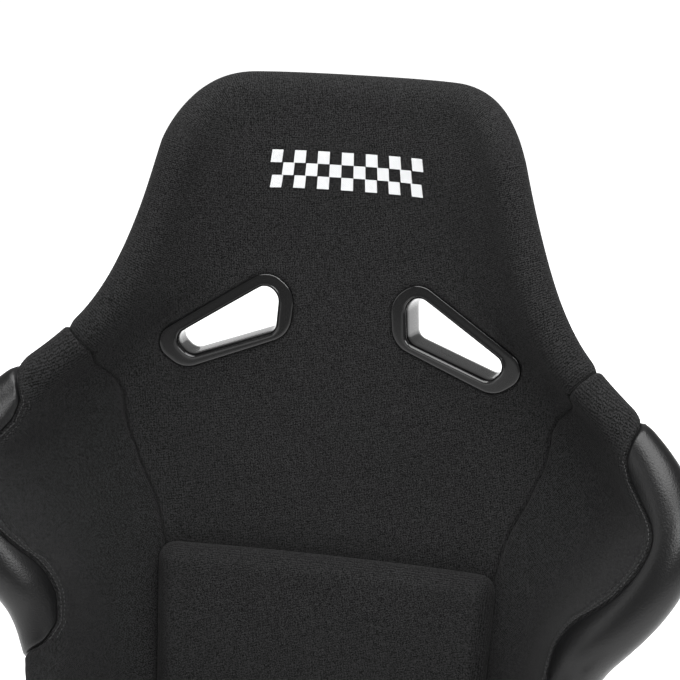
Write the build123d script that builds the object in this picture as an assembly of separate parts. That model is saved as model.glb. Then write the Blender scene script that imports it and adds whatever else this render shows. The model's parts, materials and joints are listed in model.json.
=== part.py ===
from build123d import *
import os
from math import comb, cos, pi, radians, sin, sqrt
import numpy as np

os.makedirs("parts", exist_ok=True)

# Fixed-back racing seat, millimetres. The seat faces -Y, +X is to the right of a person looking at its
# front, and +Z is up. The origin is the centre of the four floor bolts, on the floor.

# ---- driving dimensions: the shell ---------------------------------------------------------------
# Centre line of the shell's inner face: distance along it from the seat's bite, y, z.
CENTRE_LINE = [
    (-395, -277, 94), (-360, -249, 111), (-310, -200, 103), (-230, -121, 82), (-140, -34, 60),
    (-39, 65, 44), (37, 138, 66), (105, 191, 108), (173, 227, 166), (244, 254, 232), (315, 276, 300),
    (390, 297, 372), (510, 327, 488), (630, 355, 604), (750, 382, 721), (850, 399, 820), (940, 408, 910),
]
# Cross sections: distance along the centre line, depth of the side, the side's lean above
# horizontal in degrees, half width, and boxiness (0 a soft hollow, 1 a flat floor with upright sides).
SECTIONS = [
    (-395, 22, 60, 190, 0.30), (-330, 78, 70, 212, 0.55), (-240, 118, 84, 224, 0.80),
    (-130, 140, 92, 226, 0.95), (-30, 168, 85, 224, 1.00), (40, 178, 70, 222, 1.00),
    (110, 182, 55, 219, 1.00), (180, 173, 43, 215, 0.98), (250, 159, 33, 209, 0.95),
    (330, 144, 25, 203, 0.88), (430, 132, 22, 200, 0.80), (510, 126, 20, 217, 0.70),
    (580, 132, 8, 251, 0.60), (650, 124, 4, 280, 0.50), (710, 91, 0, 241, 0.42),
    (770, 71, -3, 178, 0.35), (830, 57, 2, 145, 0.25), (890, 47, 5, 127, 0.20), (940, 31, 4, 113, 0.20),
]
SOFT_SIDE = [(0, 0), (0.30, 0), (0.55, 0.08), (0.76, 0.29), (0.92, 0.63), (1, 1)]
BOXY_SIDE = [(0, 0), (0.50, 0), (0.98, 0), (0.95, 0.30), (0.965, 0.68), (1, 1)]
FRONT, TOP = -395, 929        # the two ends of the centre line
SHELL_WALL = 4
HEAD_FLAT = 0.5               # share of the half width over which the top edge is level
HEAD_CORNER = 52              # drop of the head's rounded top corners

# ---- driving dimensions: upholstery ---------------------------------------------------------------
GAP = 0.3                     # clearance between curved neighbours
COVER = 2                     # cover fabric or leather with its scrim
PADDING = 22                  # foam and cover over the middle of the shell
EDGE_RADIUS = 15              # padding rolled round the shell's edge
ROLL_BORE = 5                 # radius of the hollow that the shell's edge fills
ROLL_TURN = 200               # degrees that the roll wraps
PANEL_SEAM = 0.42             # side share where the centre panel meets the bolsters
HEAD_SEAM = 745               # distances along the centre line where panels are sewn together
BITE_SEAM = 110
WING_FROM, WING_TO = 482, 712
THIGH_FROM, THIGH_TO = -335, 60

# ---- driving dimensions: loose cushions -----------------------------------------------------------
PAD_THICK = 27
BACK_PAD = dict(half_width=146, start=185, end=564)
SEAT_PAD = dict(half_width=150, start=-325, end=72)
STRIP_WIDTH, STRIP_THICK = 25, 0.8

# ---- driving dimensions: slots and bezels ---------------------------------------------------------
BEZEL_PLATE = 3
BEZEL_WALL = 2.5
SLEEVE_BACK = 33              # the sleeves' reach behind their flanges
SHOULDER_CENTRE = (88, 354, 722)
SHOULDER_FACING = (-0.12, -0.978, 0.17)
# Corners in the bezel's own plane, from its centre: along the slot, up the slot, corner radius.
SHOULDER_FLANGE = [(-28, 46, 19), (-50, 29, 22), (-47, -9, 22), (38, -42, 20), (69, -19, 15)]
SHOULDER_OPENING = [(-27, 34, 9.5), (-37, 24, 12), (-35, -6, 9), (33, -31, 9), (47, -16, 9)]
LAP_CENTRE = (188, 137, 189)
LAP_FACING = (-0.97, -0.22, 0.06)
LAP_SIZE, LAP_OPENING, LAP_CORNER = (96, 50), (72, 28), 12
STRAP_CENTRE = (0, -38.8, 81)
STRAP_FACING = (0, 0.254, 0.967)
STRAP_SIZE, STRAP_OPENING, STRAP_CORNER = (92, 54), (66, 30), 12

# ---- driving dimensions: side mounts --------------------------------------------------------------
BOLT_SPACING_Y = 290          # between the two bolts of one side, and of one foot
FLOOR_SPACING_X = 414
FLOOR_HOLE = 9
MOUNT_FACE = 229.5            # half width over the mounting bosses
BOSS_RADIUS, BOSS_HEIGHT = 20, 120
M8, M8_HOLE, M8_HEAD, M8_HEAD_HEIGHT = 8, 8.5, 13, 5.3
BRACKET_WALL, BRACKET_LENGTH, BRACKET_HEIGHT, BRACKET_FOOT = 4, 370, 146, 48
WASHER_RADIUS, WASHER_THICK = 9, 1.6



# ---- the shell's face as a formula ----------------------------------------------------------------
def natural_spline(places, values):
    """A smooth curve through the given values, level in its bending at both ends."""
    x, y = np.array(places, float), np.array(values, float)
    step = np.diff(x)
    count = len(x)
    matrix, right = np.eye(count), np.zeros(count)
    for i in range(1, count - 1):
        matrix[i, i - 1:i + 2] = step[i - 1], 2 * (step[i - 1] + step[i]), step[i]
        right[i] = 6 * ((y[i + 1] - y[i]) / step[i] - (y[i] - y[i - 1]) / step[i - 1])
    bend = np.linalg.solve(matrix, right)

    def curve(at):
        i = int(np.clip(np.searchsorted(x, at) - 1, 0, count - 2))
        a, b, h = x[i + 1] - at, at - x[i], step[i]
        cubic = (bend[i] * a ** 3 + bend[i + 1] * b ** 3) / (6 * h)
        line = (y[i] / h - bend[i] * h / 6) * a + (y[i + 1] / h - bend[i + 1] * h / 6) * b
        return cubic + line
    return curve


LINE_Y, LINE_Z = [natural_spline([p[0] for p in CENTRE_LINE], [p[k] for p in CENTRE_LINE]) for k in (1, 2)]
DEPTH, LEAN, WIDTH, BOX = [natural_spline([p[0] for p in SECTIONS], [p[k] for p in SECTIONS])
                           for k in (1, 2, 3, 4)]


def side_shape(share, box):
    """Outward and forward shares of the cross section, from its middle (0) to its edge (1)."""
    out = forward = 0.0
    for k, (soft, boxy) in enumerate(zip(SOFT_SIDE, BOXY_SIDE)):
        weight = comb(5, k) * share ** k * (1 - share) ** (5 - k)
        out += weight * (soft[0] * (1 - box) + boxy[0] * box)
        forward += weight * (soft[1] * (1 - box) + boxy[1] * box)
    return out, forward


def shell_point(u, s):
    """Point of the shell's inner face: u from -1 to 1 across it, s along its centre line."""
    out, forward = side_shape(abs(u), min(max(BOX(s), 0), 1))
    reach, lean = forward * DEPTH(s), radians(LEAN(s))
    x = (1 if u >= 0 else -1) * out * WIDTH(s)
    return np.array([x, LINE_Y(s) - reach * cos(lean), LINE_Z(s) + reach * sin(lean)])


def directions(u, s):
    """Unit directions on the face: across it, along it, and out of it towards the driver."""
    across = shell_point(min(u + 0.001, 1), s) - shell_point(max(u - 0.001, -1), s)
    along = shell_point(u, s + 0.5) - shell_point(u, s - 0.5)
    normal = np.cross(across, along)
    return across / np.linalg.norm(across), along / np.linalg.norm(along), normal / np.linalg.norm(normal)


def padding(u):
    """Height of the cover over the shell: full in the middle, thinner towards the edge."""
    t = min(max((abs(u) - 0.6) / 0.4, 0), 1)
    return PADDING + (EDGE_RADIUS - PADDING) * t * t * (3 - 2 * t)


def top_end(u):
    """Where the shell ends at the head, which has rounded top corners."""
    t = max(abs(u) - HEAD_FLAT, 0) / (1 - HEAD_FLAT) * 0.97
    return TOP - HEAD_CORNER * (1 - sqrt(1 - t * t))


def share_at(x, s):
    """The cross-section share that lies x from the middle plane."""
    low, high = 0.0, 1.0
    for _ in range(30):
        middle = (low + high) / 2
        if shell_point(middle, s)[0] < abs(x):
            low = middle
        else:
            high = middle
    return low if x >= 0 else -low


def raised(u, s, height):
    return shell_point(u, s) + height * directions(u, s)[2]


def rolled(u, s, out, turn, radius):
    """Point of the padding round the shell's edge; turn is in degrees from the driver's side."""
    normal = directions(u, s)[2]
    tuck = min(max((turn - 90) / 110, 0), 1)
    reach = radius - (radius - ROLL_BORE) * 0.45 * tuck * tuck * (3 - 2 * tuck)
    return shell_point(u, s) + reach * (cos(radians(turn)) * normal + sin(radians(turn)) * out)


def square_to(edge, normal):
    """Direction that leaves the face at its edge."""
    out = np.cross(edge, normal)
    return out / np.linalg.norm(out)


# ---- solids between two such faces ----------------------------------------------------------------
def solid_between(low, high, rows, columns):
    """Closed solid between the faces low(a, b) and high(a, b) over the unit square."""
    faces = []
    for place in (low, high):
        grid = [[Vector(*place(i / (rows - 1), j / (columns - 1))) for j in range(columns)]
                for i in range(rows)]
        faces.append(Face.make_surface_from_array_of_points(grid, tol=0.15, min_deg=3, max_deg=3))
    walls = [Face.make_surface_from_curves(a, b) for a, b in zip(faces[0].edges(), faces[1].edges())]
    solid = Solid(Shell(faces + walls))
    return solid if solid.volume > 0 else Solid(solid.wrapped.Reversed())


def layer(u_from, u_to, s_from, s_to, low, high, columns=17, spacing=26):
    """Layer over the shell's face; each limit and height may be a number or a function."""
    def place(height):
        def point(a, b):
            s_mid = s_from(0) if callable(s_from) else s_from
            u = u_from + (u_to - u_from) * b
            first = s_from(u) if callable(s_from) else s_mid
            last = s_to(u) if callable(s_to) else s_to
            s = first + (last - first) * a
            return raised(u, s, height(u) if callable(height) else height)
        return point
    length = (s_to(0) if callable(s_to) else s_to) - (s_from(0) if callable(s_from) else s_from)
    return solid_between(place(low), place(high), max(int(length / spacing), 6) + 1, columns)


def side_roll(side, s_from, s_to, inner=ROLL_BORE, outer=EDGE_RADIUS, turn=ROLL_TURN):
    """Padding round the shell's side edge from s_from to s_to."""
    def place(radius):
        def point(a, b):
            s = s_from + (s_to - s_from) * a
            _, along, normal = directions(side, s)
            return rolled(side, s, square_to(along, normal) * side, turn * b, radius)
        return point
    return solid_between(place(inner), place(outer), max(int((s_to - s_from) / 26), 6) + 1, 13)


def end_roll(s_end, sign, reach=0.99):
    """Padding round the shell's top edge (sign 1) or front edge (sign -1)."""
    def place(radius):
        def point(a, b):
            u = reach * (2 * a - 1)
            s = s_end(u)
            step = 0.002
            edge = shell_point(u + step, s_end(u + step)) - shell_point(u - step, s_end(u - step))
            out = square_to(directions(u, s)[2], edge / np.linalg.norm(edge))
            return rolled(u, s, out * sign, ROLL_TURN * b, radius)
        return point
    return solid_between(place(ROLL_BORE), place(EDGE_RADIUS), 25, 13)


def cushion(half_width, start, end, low, high, inset=0):
    """Loose cushion laid on the cover, of constant width."""
    def place(height):
        def point(a, b):
            s = start + inset + (end - start - 2 * inset) * a
            return raised(share_at((2 * b - 1) * (half_width - inset), s), s, height)
        return point
    return solid_between(place(low), place(high), max(int((end - start) / 26), 6) + 1, 13)


def mirrored(solid):
    return solid.mirror(Plane.YZ)


# ---- slots and bezels -----------------------------------------------------------------------------
def mount_plane(centre, facing):
    """Plane that faces the driver, with its x axis pointing outward."""
    normal = Vector(*facing).normalized()
    across = Vector(1, 0, 0) if abs(facing[0]) < 0.7 else Vector(0, -1, 0)
    across = (across - normal * across.dot(normal)).normalized()
    return Plane(origin=centre, x_dir=across, z_dir=normal)


def rounded_outline(corners, grow=0):
    """Polygon face with its own radius at each corner, grown outward by an even margin."""
    wire = FilletPolyline(*[(x, y) for x, y, _ in corners], radius=[r for _, _, r in corners], close=True)
    face = make_face(wire)
    return offset(face, amount=grow) if grow else face


def oblong(size, corner, grow=0):
    return RectangleRounded(size[0] + 2 * grow, size[1] + 2 * grow, corner + grow)


def prism(plane, outline, low, high):
    """Prism of an outline drawn in the plane, between two heights above the plane."""
    placed = Plane(plane.origin + plane.z_dir * low, x_dir=plane.x_dir, z_dir=plane.z_dir)
    return extrude(placed * outline, amount=high - low, dir=plane.z_dir)


def sleeve_bezel(plane, flange, opening, back):
    """Front bezel: a flange on the cover and a sleeve through the seat."""
    body = prism(plane, flange(0), 0, BEZEL_PLATE) + prism(plane, opening(BEZEL_WALL), -back, BEZEL_PLATE)
    return body - prism(plane, opening(0), -back - 1, BEZEL_PLATE + 1)


def rear_bezel(plane, flange, opening, back, solid_inside):
    """Closing ring on the shell's outer face, round the sleeve's end."""
    ring = prism(plane, flange(-1), -back - 2, -back + 16) - prism(plane, flange(-6), -back, -back + 17)
    ring += prism(plane, flange(-1), -back - 2, -back)
    ring -= prism(plane, opening(BEZEL_WALL + GAP), -back - 3, -back + 17)
    return ring - solid_inside


def shoulder_flange(grow):
    return rounded_outline(SHOULDER_FLANGE, grow)


def shoulder_opening(grow):
    return rounded_outline(SHOULDER_OPENING, grow)


def lap_flange(grow):
    return oblong(LAP_SIZE, LAP_CORNER + 6, grow)


def lap_opening(grow):
    return oblong(LAP_OPENING, LAP_CORNER, grow)


def strap_flange(grow):
    return oblong(STRAP_SIZE, STRAP_CORNER + 6, grow)


def strap_opening(grow):
    return oblong(STRAP_OPENING, STRAP_CORNER, grow)


def save(name, solids):
    """Write one node; a list of solids becomes one group."""
    shapes = solids if isinstance(solids, list) else [solids]
    pieces = [piece for shape in shapes for piece in shape.solids()]
    export_step(pieces[0] if len(pieces) == 1 else Compound(pieces), f"parts/{name}.step")


def save_pair(name, build):
    """Write the left and right copies of a piece that is built on the +X side."""
    right = build
    save(f"{name}_right", right)
    left = [mirrored(piece) for shape in (right if isinstance(right, list) else [right])
            for piece in shape.solids()]
    save(f"{name}_left", left)


# ---- shell, with its slots ------------------------------------------------------------------------
SHOULDER = mount_plane(SHOULDER_CENTRE, SHOULDER_FACING)
LAP = mount_plane(LAP_CENTRE, LAP_FACING)
STRAP = mount_plane(STRAP_CENTRE, STRAP_FACING)
SHOULDER_SLOT = (SHOULDER, shoulder_flange, shoulder_opening)
LAP_SLOT = (LAP, lap_flange, lap_opening)
STRAP_SLOT = (STRAP, strap_flange, strap_opening)
SLOT_BACK, SLOT_FRONT = 60, 24


def cut_slots(solid, slots, flanges=True, both_sides=True):
    """Cut each slot's sleeve and the room that its flange presses into the upholstery."""
    for plane, flange, opening in slots:
        tools = [prism(plane, opening(BEZEL_WALL + GAP), -SLOT_BACK, SLOT_FRONT)]
        if flanges:
            tools.append(prism(plane, flange(GAP), -GAP, SLOT_FRONT))
        for tool in tools:
            solid -= tool
            if both_sides:
                solid -= mirrored(tool)
    return solid


shell = layer(-1, 1, FRONT, top_end, -SHELL_WALL, 0, columns=25)
save("shell", cut_slots(shell, [SHOULDER_SLOT, LAP_SLOT, STRAP_SLOT], flanges=False))
inside = layer(-1, 1, FRONT, top_end, -SHELL_WALL - GAP, 34, columns=25)
save_pair("edge_welt", side_roll(1, FRONT + 20, 880, 0.6, ROLL_BORE - 0.8, 170))

# ---- foam -----------------------------------------------------------------------------------------
foam_top = lambda u: padding(u) - COVER - GAP
cover_low, cover_high = lambda u: padding(u) - COVER, padding
FOAM_GAP = 0.8                # over the shell, where the foam is glued down

head_foam = layer(-0.98, 0.98, HEAD_SEAM + 1, lambda u: top_end(u) - 1, FOAM_GAP, foam_top)
save("head_foam", cut_slots(head_foam, [SHOULDER_SLOT]))
back_foam = layer(-PANEL_SEAM, PANEL_SEAM, BITE_SEAM + 1, HEAD_SEAM - 1, FOAM_GAP, foam_top)
save("back_foam", cut_slots(back_foam, [SHOULDER_SLOT]))
base_foam = layer(-PANEL_SEAM, PANEL_SEAM, FRONT + 2, BITE_SEAM - 1, FOAM_GAP, foam_top)
save("base_foam", cut_slots(base_foam, [STRAP_SLOT]))
side_foam = layer(PANEL_SEAM + 0.003, 0.98, BITE_SEAM + 1, HEAD_SEAM - 1, FOAM_GAP, foam_top)
save_pair("side_foam", cut_slots(side_foam, [SHOULDER_SLOT, LAP_SLOT], both_sides=False))
thigh_foam = layer(PANEL_SEAM + 0.003, 0.98, FRONT + 2, BITE_SEAM - 1, FOAM_GAP, foam_top)
save_pair("thigh_foam", cut_slots(thigh_foam, [LAP_SLOT], both_sides=False))

# ---- covers ---------------------------------------------------------------------------------------
head_cover = layer(-0.985, 0.985, HEAD_SEAM + 0.5, lambda u: top_end(u) - 0.5, cover_low, cover_high)
save("head_cover", cut_slots(head_cover, [SHOULDER_SLOT]))
back_cover = layer(-PANEL_SEAM, PANEL_SEAM, BITE_SEAM + 0.5, HEAD_SEAM - 0.5, cover_low, cover_high)
save("back_cover", cut_slots(back_cover, [SHOULDER_SLOT]))
base_cover = layer(-PANEL_SEAM, PANEL_SEAM, FRONT + 1, BITE_SEAM - 0.5, cover_low, cover_high)
save("base_cover", cut_slots(base_cover, [STRAP_SLOT]))
side_cover = layer(PANEL_SEAM + 0.002, 0.985, BITE_SEAM + 0.5, HEAD_SEAM - 0.5, cover_low, cover_high)
save_pair("side_cover", cut_slots(side_cover, [SHOULDER_SLOT, LAP_SLOT], both_sides=False))
thigh_cover = layer(PANEL_SEAM + 0.002, 0.985, FRONT + 1, BITE_SEAM - 0.5, cover_low, cover_high)
save_pair("thigh_cover", cut_slots(thigh_cover, [LAP_SLOT], both_sides=False))

# ---- padding rolled round the shell's edge --------------------------------------------------------
save_pair("wing_patch", side_roll(1, WING_FROM + GAP, WING_TO - GAP))
save_pair("thigh_patch", side_roll(1, THIGH_FROM + GAP, THIGH_TO - GAP))
save_pair("waist_roll", side_roll(1, THIGH_TO, WING_FROM))
save_pair("head_roll", side_roll(1, WING_TO, top_end(1)))
save("head_top_roll", end_roll(top_end, 1))
save("front_roll", end_roll(lambda u: FRONT, -1))

# ---- bezels and their screws ----------------------------------------------------------------------
save_pair("shoulder_bezel", sleeve_bezel(SHOULDER, shoulder_flange, shoulder_opening, SLEEVE_BACK))
save_pair("shoulder_rear_bezel",
          rear_bezel(SHOULDER, shoulder_flange, shoulder_opening, SLEEVE_BACK, inside))
save_pair("lap_bezel", sleeve_bezel(LAP, lap_flange, lap_opening, SLEEVE_BACK))
save_pair("lap_outer_bezel", rear_bezel(LAP, lap_flange, lap_opening, SLEEVE_BACK, inside))
save("strap_bezel", sleeve_bezel(STRAP, strap_flange, strap_opening, SLEEVE_BACK))
save("strap_lower_bezel", rear_bezel(STRAP, strap_flange, strap_opening, SLEEVE_BACK, inside))

# ---- side mounts ----------------------------------------------------------------------------------
BOLT_Y = [-BOLT_SPACING_Y / 2, BOLT_SPACING_Y / 2]
FOOT_OUT = MOUNT_FACE + BRACKET_WALL


def cross_bar(radius, x_from, x_to, y, z):
    """Cylinder along X between two distances from the middle plane."""
    plane = Plane((x_from, y, z), x_dir=(0, 1, 0), z_dir=(1, 0, 0))
    return extrude(plane * Circle(radius), amount=x_to - x_from, dir=(1, 0, 0))


def mount_boss(y):
    """Glassed-in threaded boss between the shell's side and the bracket."""
    boss = cross_bar(BOSS_RADIUS, 196, MOUNT_FACE, y, BOSS_HEIGHT) - inside
    boss = boss.solids().sort_by(Axis.X)[-1]
    return boss - cross_bar(M8 / 2 + 0.1, 196, MOUNT_FACE + 1, y, BOSS_HEIGHT)


def bracket():
    """Side mount: two uprights on a low web, with a foot turned in under the seat."""
    upright, web = 52, 44
    half = BRACKET_LENGTH / 2
    shape = Polyline((-half, 0), (half, 0), (half, web), (BOLT_Y[1] + upright / 2, BRACKET_HEIGHT),
                     (BOLT_Y[1] - upright / 2, BRACKET_HEIGHT), (BOLT_Y[1] - upright, web),
                     (BOLT_Y[0] + upright, web), (BOLT_Y[0] + upright / 2, BRACKET_HEIGHT),
                     (BOLT_Y[0] - upright / 2, BRACKET_HEIGHT), (-half, web), close=True)
    outline = make_face(shape)
    outline = fillet(outline.vertices().filter_by(lambda v: v.Y > web - 1), 10)
    side_plane = Plane((MOUNT_FACE, 0, 0), x_dir=(0, 1, 0), z_dir=(1, 0, 0))
    plate = extrude(side_plane * outline, amount=BRACKET_WALL, dir=(1, 0, 0))
    foot_centre = FOOT_OUT - BRACKET_FOOT / 2
    plate += Pos(foot_centre, 0, BRACKET_WALL / 2) * Box(BRACKET_FOOT, BRACKET_LENGTH, BRACKET_WALL)
    for y in BOLT_Y:
        slot = side_plane * (Pos(y, BOSS_HEIGHT - 8) * Rot(0, 0, 90) * SlotOverall(40, M8_HOLE))
        plate -= extrude(slot, amount=20, dir=(1, 0, 0), both=True)
        plate -= Pos(FLOOR_SPACING_X / 2, y, 0) * Cylinder(FLOOR_HOLE / 2, 20)
    return plate


def bracket_bolt(y):
    """M8 hexagon bolt through the bracket into its boss."""
    seat = FOOT_OUT + WASHER_THICK
    head_plane = Plane((seat, y, BOSS_HEIGHT), x_dir=(0, 1, 0), z_dir=(1, 0, 0))
    head = extrude(head_plane * RegularPolygon(M8_HEAD / 2, 6, major_radius=False), amount=M8_HEAD_HEIGHT,
                   dir=(1, 0, 0))
    return head + cross_bar(M8 / 2 - 0.1, MOUNT_FACE - 11, seat, y, BOSS_HEIGHT)


def washer(y):
    ring = cross_bar(WASHER_RADIUS, FOOT_OUT, FOOT_OUT + WASHER_THICK, y, BOSS_HEIGHT)
    return ring - cross_bar(M8_HOLE / 2, FOOT_OUT - 1, FOOT_OUT + WASHER_THICK + 1, y, BOSS_HEIGHT)


save_pair("mount_bosses", [mount_boss(y) for y in BOLT_Y])
save_pair("bracket", bracket())
save_pair("bracket_bolts", [bracket_bolt(y) for y in BOLT_Y])
save_pair("bracket_washers", [washer(y) for y in BOLT_Y])


# ---- head mark: a plain chequered band ------------------------------------------------------------
MARK_CELL, MARK_COLUMNS, MARK_ROWS, MARK_START, MARK_RISE = 10, 13, 3, 858, 0.7


def mark_cell(column, row):
    x = (column - (MARK_COLUMNS - 1) / 2) * MARK_CELL
    s = MARK_START + row * MARK_CELL
    u_low, u_high = share_at(x - MARK_CELL / 2 + 0.1, s), share_at(x + MARK_CELL / 2 - 0.1, s)
    return layer(u_low, u_high, s + 0.1, s + MARK_CELL - 0.1,
                 lambda u: padding(u) + 0.05, lambda u: padding(u) + MARK_RISE, columns=4)


save("head_mark", [mark_cell(column, row) for column in range(MARK_COLUMNS) for row in range(MARK_ROWS)
                   if (column + row) % 2 == 0])

# ---- loose cushions -------------------------------------------------------------------------------
PAD_BACK = PADDING + 2 * STRIP_THICK + GAP
PAD_FRONT = PAD_BACK + PAD_THICK


def pad_pieces(size):
    """Foam and closed cover of a cushion."""
    foam = cushion(**size, low=PAD_BACK + COVER + 0.1, high=PAD_FRONT - COVER - 0.1, inset=COVER + 0.1)
    void = cushion(**size, low=PAD_BACK + COVER, high=PAD_FRONT - COVER, inset=COVER)
    return foam, cushion(**size, low=PAD_BACK, high=PAD_FRONT), void


def strips(size, low, high, ends):
    """Two bands of hook-and-loop tape across the back of a cushion."""
    bands = []
    for s in ends:
        for side in (-1, 1):
            def place(height, s=s, side=side):
                def point(a, b):
                    at = s + STRIP_WIDTH * a
                    x = side * (30 + (size["half_width"] - 60) * b)
                    return raised(share_at(x, at), at, height)
                return point
            bands.append(solid_between(place(low), place(high), 4, 7))
    return bands


back_foam_pad, back_skin, back_void = pad_pieces(BACK_PAD)
save("back_pad_foam", back_foam_pad)
save("back_pad_cover", back_skin - back_void)
seat_foam_pad, seat_skin, seat_void = pad_pieces(SEAT_PAD)
way = prism(STRAP, strap_opening(8), -10, 70)
lined = prism(STRAP, strap_opening(8 + COVER), -10, 70)
save("seat_pad_foam", seat_foam_pad - prism(STRAP, strap_opening(8 + COVER + 0.1), -10, 70))
save("seat_pad_cover", (seat_skin - way) - (seat_void - lined))

BACK_BANDS, SEAT_BANDS = (240, 500), (-280, 30)
hook_low, hook_high = PADDING + 0.1, PADDING + STRIP_THICK
loop_low, loop_high = hook_high + 0.2, hook_high + 0.2 + STRIP_THICK - 0.1
save("back_hook_strips", strips(BACK_PAD, hook_low, hook_high, BACK_BANDS))
save("seat_hook_strips", strips(SEAT_PAD, hook_low, hook_high, SEAT_BANDS))
save("back_pad_strips", strips(BACK_PAD, loop_low, loop_high, BACK_BANDS))
save("seat_pad_strips", strips(SEAT_PAD, loop_low, loop_high, SEAT_BANDS))
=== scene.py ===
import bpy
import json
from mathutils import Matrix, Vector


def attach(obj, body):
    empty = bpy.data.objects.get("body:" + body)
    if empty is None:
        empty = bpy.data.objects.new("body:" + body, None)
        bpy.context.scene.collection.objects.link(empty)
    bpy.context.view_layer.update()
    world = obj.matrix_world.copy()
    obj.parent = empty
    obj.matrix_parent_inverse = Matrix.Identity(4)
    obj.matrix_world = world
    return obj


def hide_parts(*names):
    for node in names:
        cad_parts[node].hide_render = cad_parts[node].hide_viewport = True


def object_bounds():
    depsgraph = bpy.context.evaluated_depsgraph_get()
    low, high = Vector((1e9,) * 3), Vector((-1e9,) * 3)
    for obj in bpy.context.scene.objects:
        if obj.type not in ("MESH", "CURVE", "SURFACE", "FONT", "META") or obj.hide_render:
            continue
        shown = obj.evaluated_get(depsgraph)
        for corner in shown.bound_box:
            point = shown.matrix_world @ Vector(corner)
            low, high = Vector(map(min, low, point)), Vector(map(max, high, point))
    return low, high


bl_info = {
    "name": "Racing Seat",
    "version": (1, 0, 0),
    "blender": (4, 5, 0),
    "location": "View3D > Sidebar > Seat",
    "description": "Upholstery, bezels and finishes of a fixed-back racing seat round its packed frame",
    "category": "Object",
}

import bpy
import json
import numpy as np
from math import comb, pi
from mathutils import Vector
from mathutils.kdtree import KDTree

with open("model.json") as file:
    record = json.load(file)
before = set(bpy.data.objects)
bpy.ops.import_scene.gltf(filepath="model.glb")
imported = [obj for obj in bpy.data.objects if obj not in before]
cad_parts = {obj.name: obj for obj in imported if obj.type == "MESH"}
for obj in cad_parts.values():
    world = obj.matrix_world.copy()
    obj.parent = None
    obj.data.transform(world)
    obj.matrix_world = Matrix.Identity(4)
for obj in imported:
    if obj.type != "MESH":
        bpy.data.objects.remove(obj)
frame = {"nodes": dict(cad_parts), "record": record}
NODES = frame["nodes"]
CAD_LOW, CAD_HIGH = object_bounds()
MM = 0.001

# ---- the shell's face, in millimetres ------------------------------------------------------------
# Centre line of the shell's inner face: distance along it from the seat's bite, y, z.
CENTRE_LINE = [
    (-395, -277, 94), (-360, -249, 111), (-310, -200, 103), (-230, -121, 82), (-140, -34, 60),
    (-39, 65, 44), (37, 138, 66), (105, 191, 108), (173, 227, 166), (244, 254, 232), (315, 276, 300),
    (390, 297, 372), (510, 327, 488), (630, 355, 604), (750, 382, 721), (850, 399, 820), (940, 408, 910),
]
# Cross sections: distance along the centre line, depth of the side, the side's lean above
# horizontal in degrees, half width, and boxiness (0 a soft hollow, 1 a flat floor with upright sides).
SECTIONS = [
    (-395, 22, 60, 190, 0.30), (-330, 78, 70, 212, 0.55), (-240, 118, 84, 224, 0.80),
    (-130, 140, 92, 226, 0.95), (-30, 168, 85, 224, 1.00), (40, 178, 70, 222, 1.00),
    (110, 182, 55, 219, 1.00), (180, 173, 43, 215, 0.98), (250, 159, 33, 210, 0.95),
    (330, 145, 26, 204, 0.88), (430, 127, 26, 198, 0.80), (510, 122, 21, 221, 0.70),
    (580, 130, 7, 252, 0.60), (650, 121, 4, 280, 0.50), (710, 90, -1, 243, 0.42),
    (770, 72, -6, 182, 0.35), (830, 56, 2, 146, 0.25), (890, 47, 5, 127, 0.20), (940, 31, 4, 113, 0.20),
]
# Control points of a soft and of a boxy side: share of the half width, share of the depth.
SOFT_SIDE = [(0, 0), (0.30, 0), (0.55, 0.08), (0.76, 0.29), (0.92, 0.63), (1, 1)]
BOXY_SIDE = [(0, 0), (0.50, 0), (0.98, 0), (0.95, 0.30), (0.965, 0.68), (1, 1)]
FRONT, TOP = -395, 929
HEAD_FLAT, HEAD_CORNER, FRONT_CORNER = 0.5, 52, 30
END_EASE = 60                          # length over which the padding thins at the two ends
PADDING, EDGE_RADIUS, HEM_RADIUS = 22, 17.2, 12.6
ROLL_SHARE, ROLL_TURN = 0.35, 246      # side share beyond 1 that the rolled edge takes, and its turn
ROLL_LENGTH = EDGE_RADIUS * np.radians(ROLL_TURN)
ROLL_END = 1 + ROLL_SHARE
EASE = 28                              # length over which the rolled edge's bend sets in
WING_EXTRA, WING_IN, WING_BACK = 9, 8, 5   # thicker edge of the wings, and how far their shell sets back

# ---- seams: distance along the centre line, and side share ---------------------------------------
SHOULDER_SEAM = [(104, 0.42), (300, 0.40), (480, 0.35), (560, 0.335), (600, 0.335), (640, 0.37),
                 (668, 0.42), (690, 0.47), (706, 0.55), (722, 0.68), (738, 0.85), (753, 1.0)]
WING_SEAM = [(446, ROLL_END), (456, 1.22), (468, 1.08), (484, 1.01), (510, 0.99), (545, 1.0),
             (590, 1.03), (640, 1.045), (690, 1.03), (703, 1.06), (712, 1.14), (722, ROLL_END)]
THIGH_SEAM = [(-352, 1.0), (-342, 0.965), (-322, 0.93), (-280, 0.91), (-100, 0.905), (0, 0.91),
              (40, 0.93), (58, 0.97), (70, 1.08), (84, ROLL_END)]
BASE_SEAM = 0.42
BITE = 104
HEAD_JOIN = 753
THIGH_FRONT = -352

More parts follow.
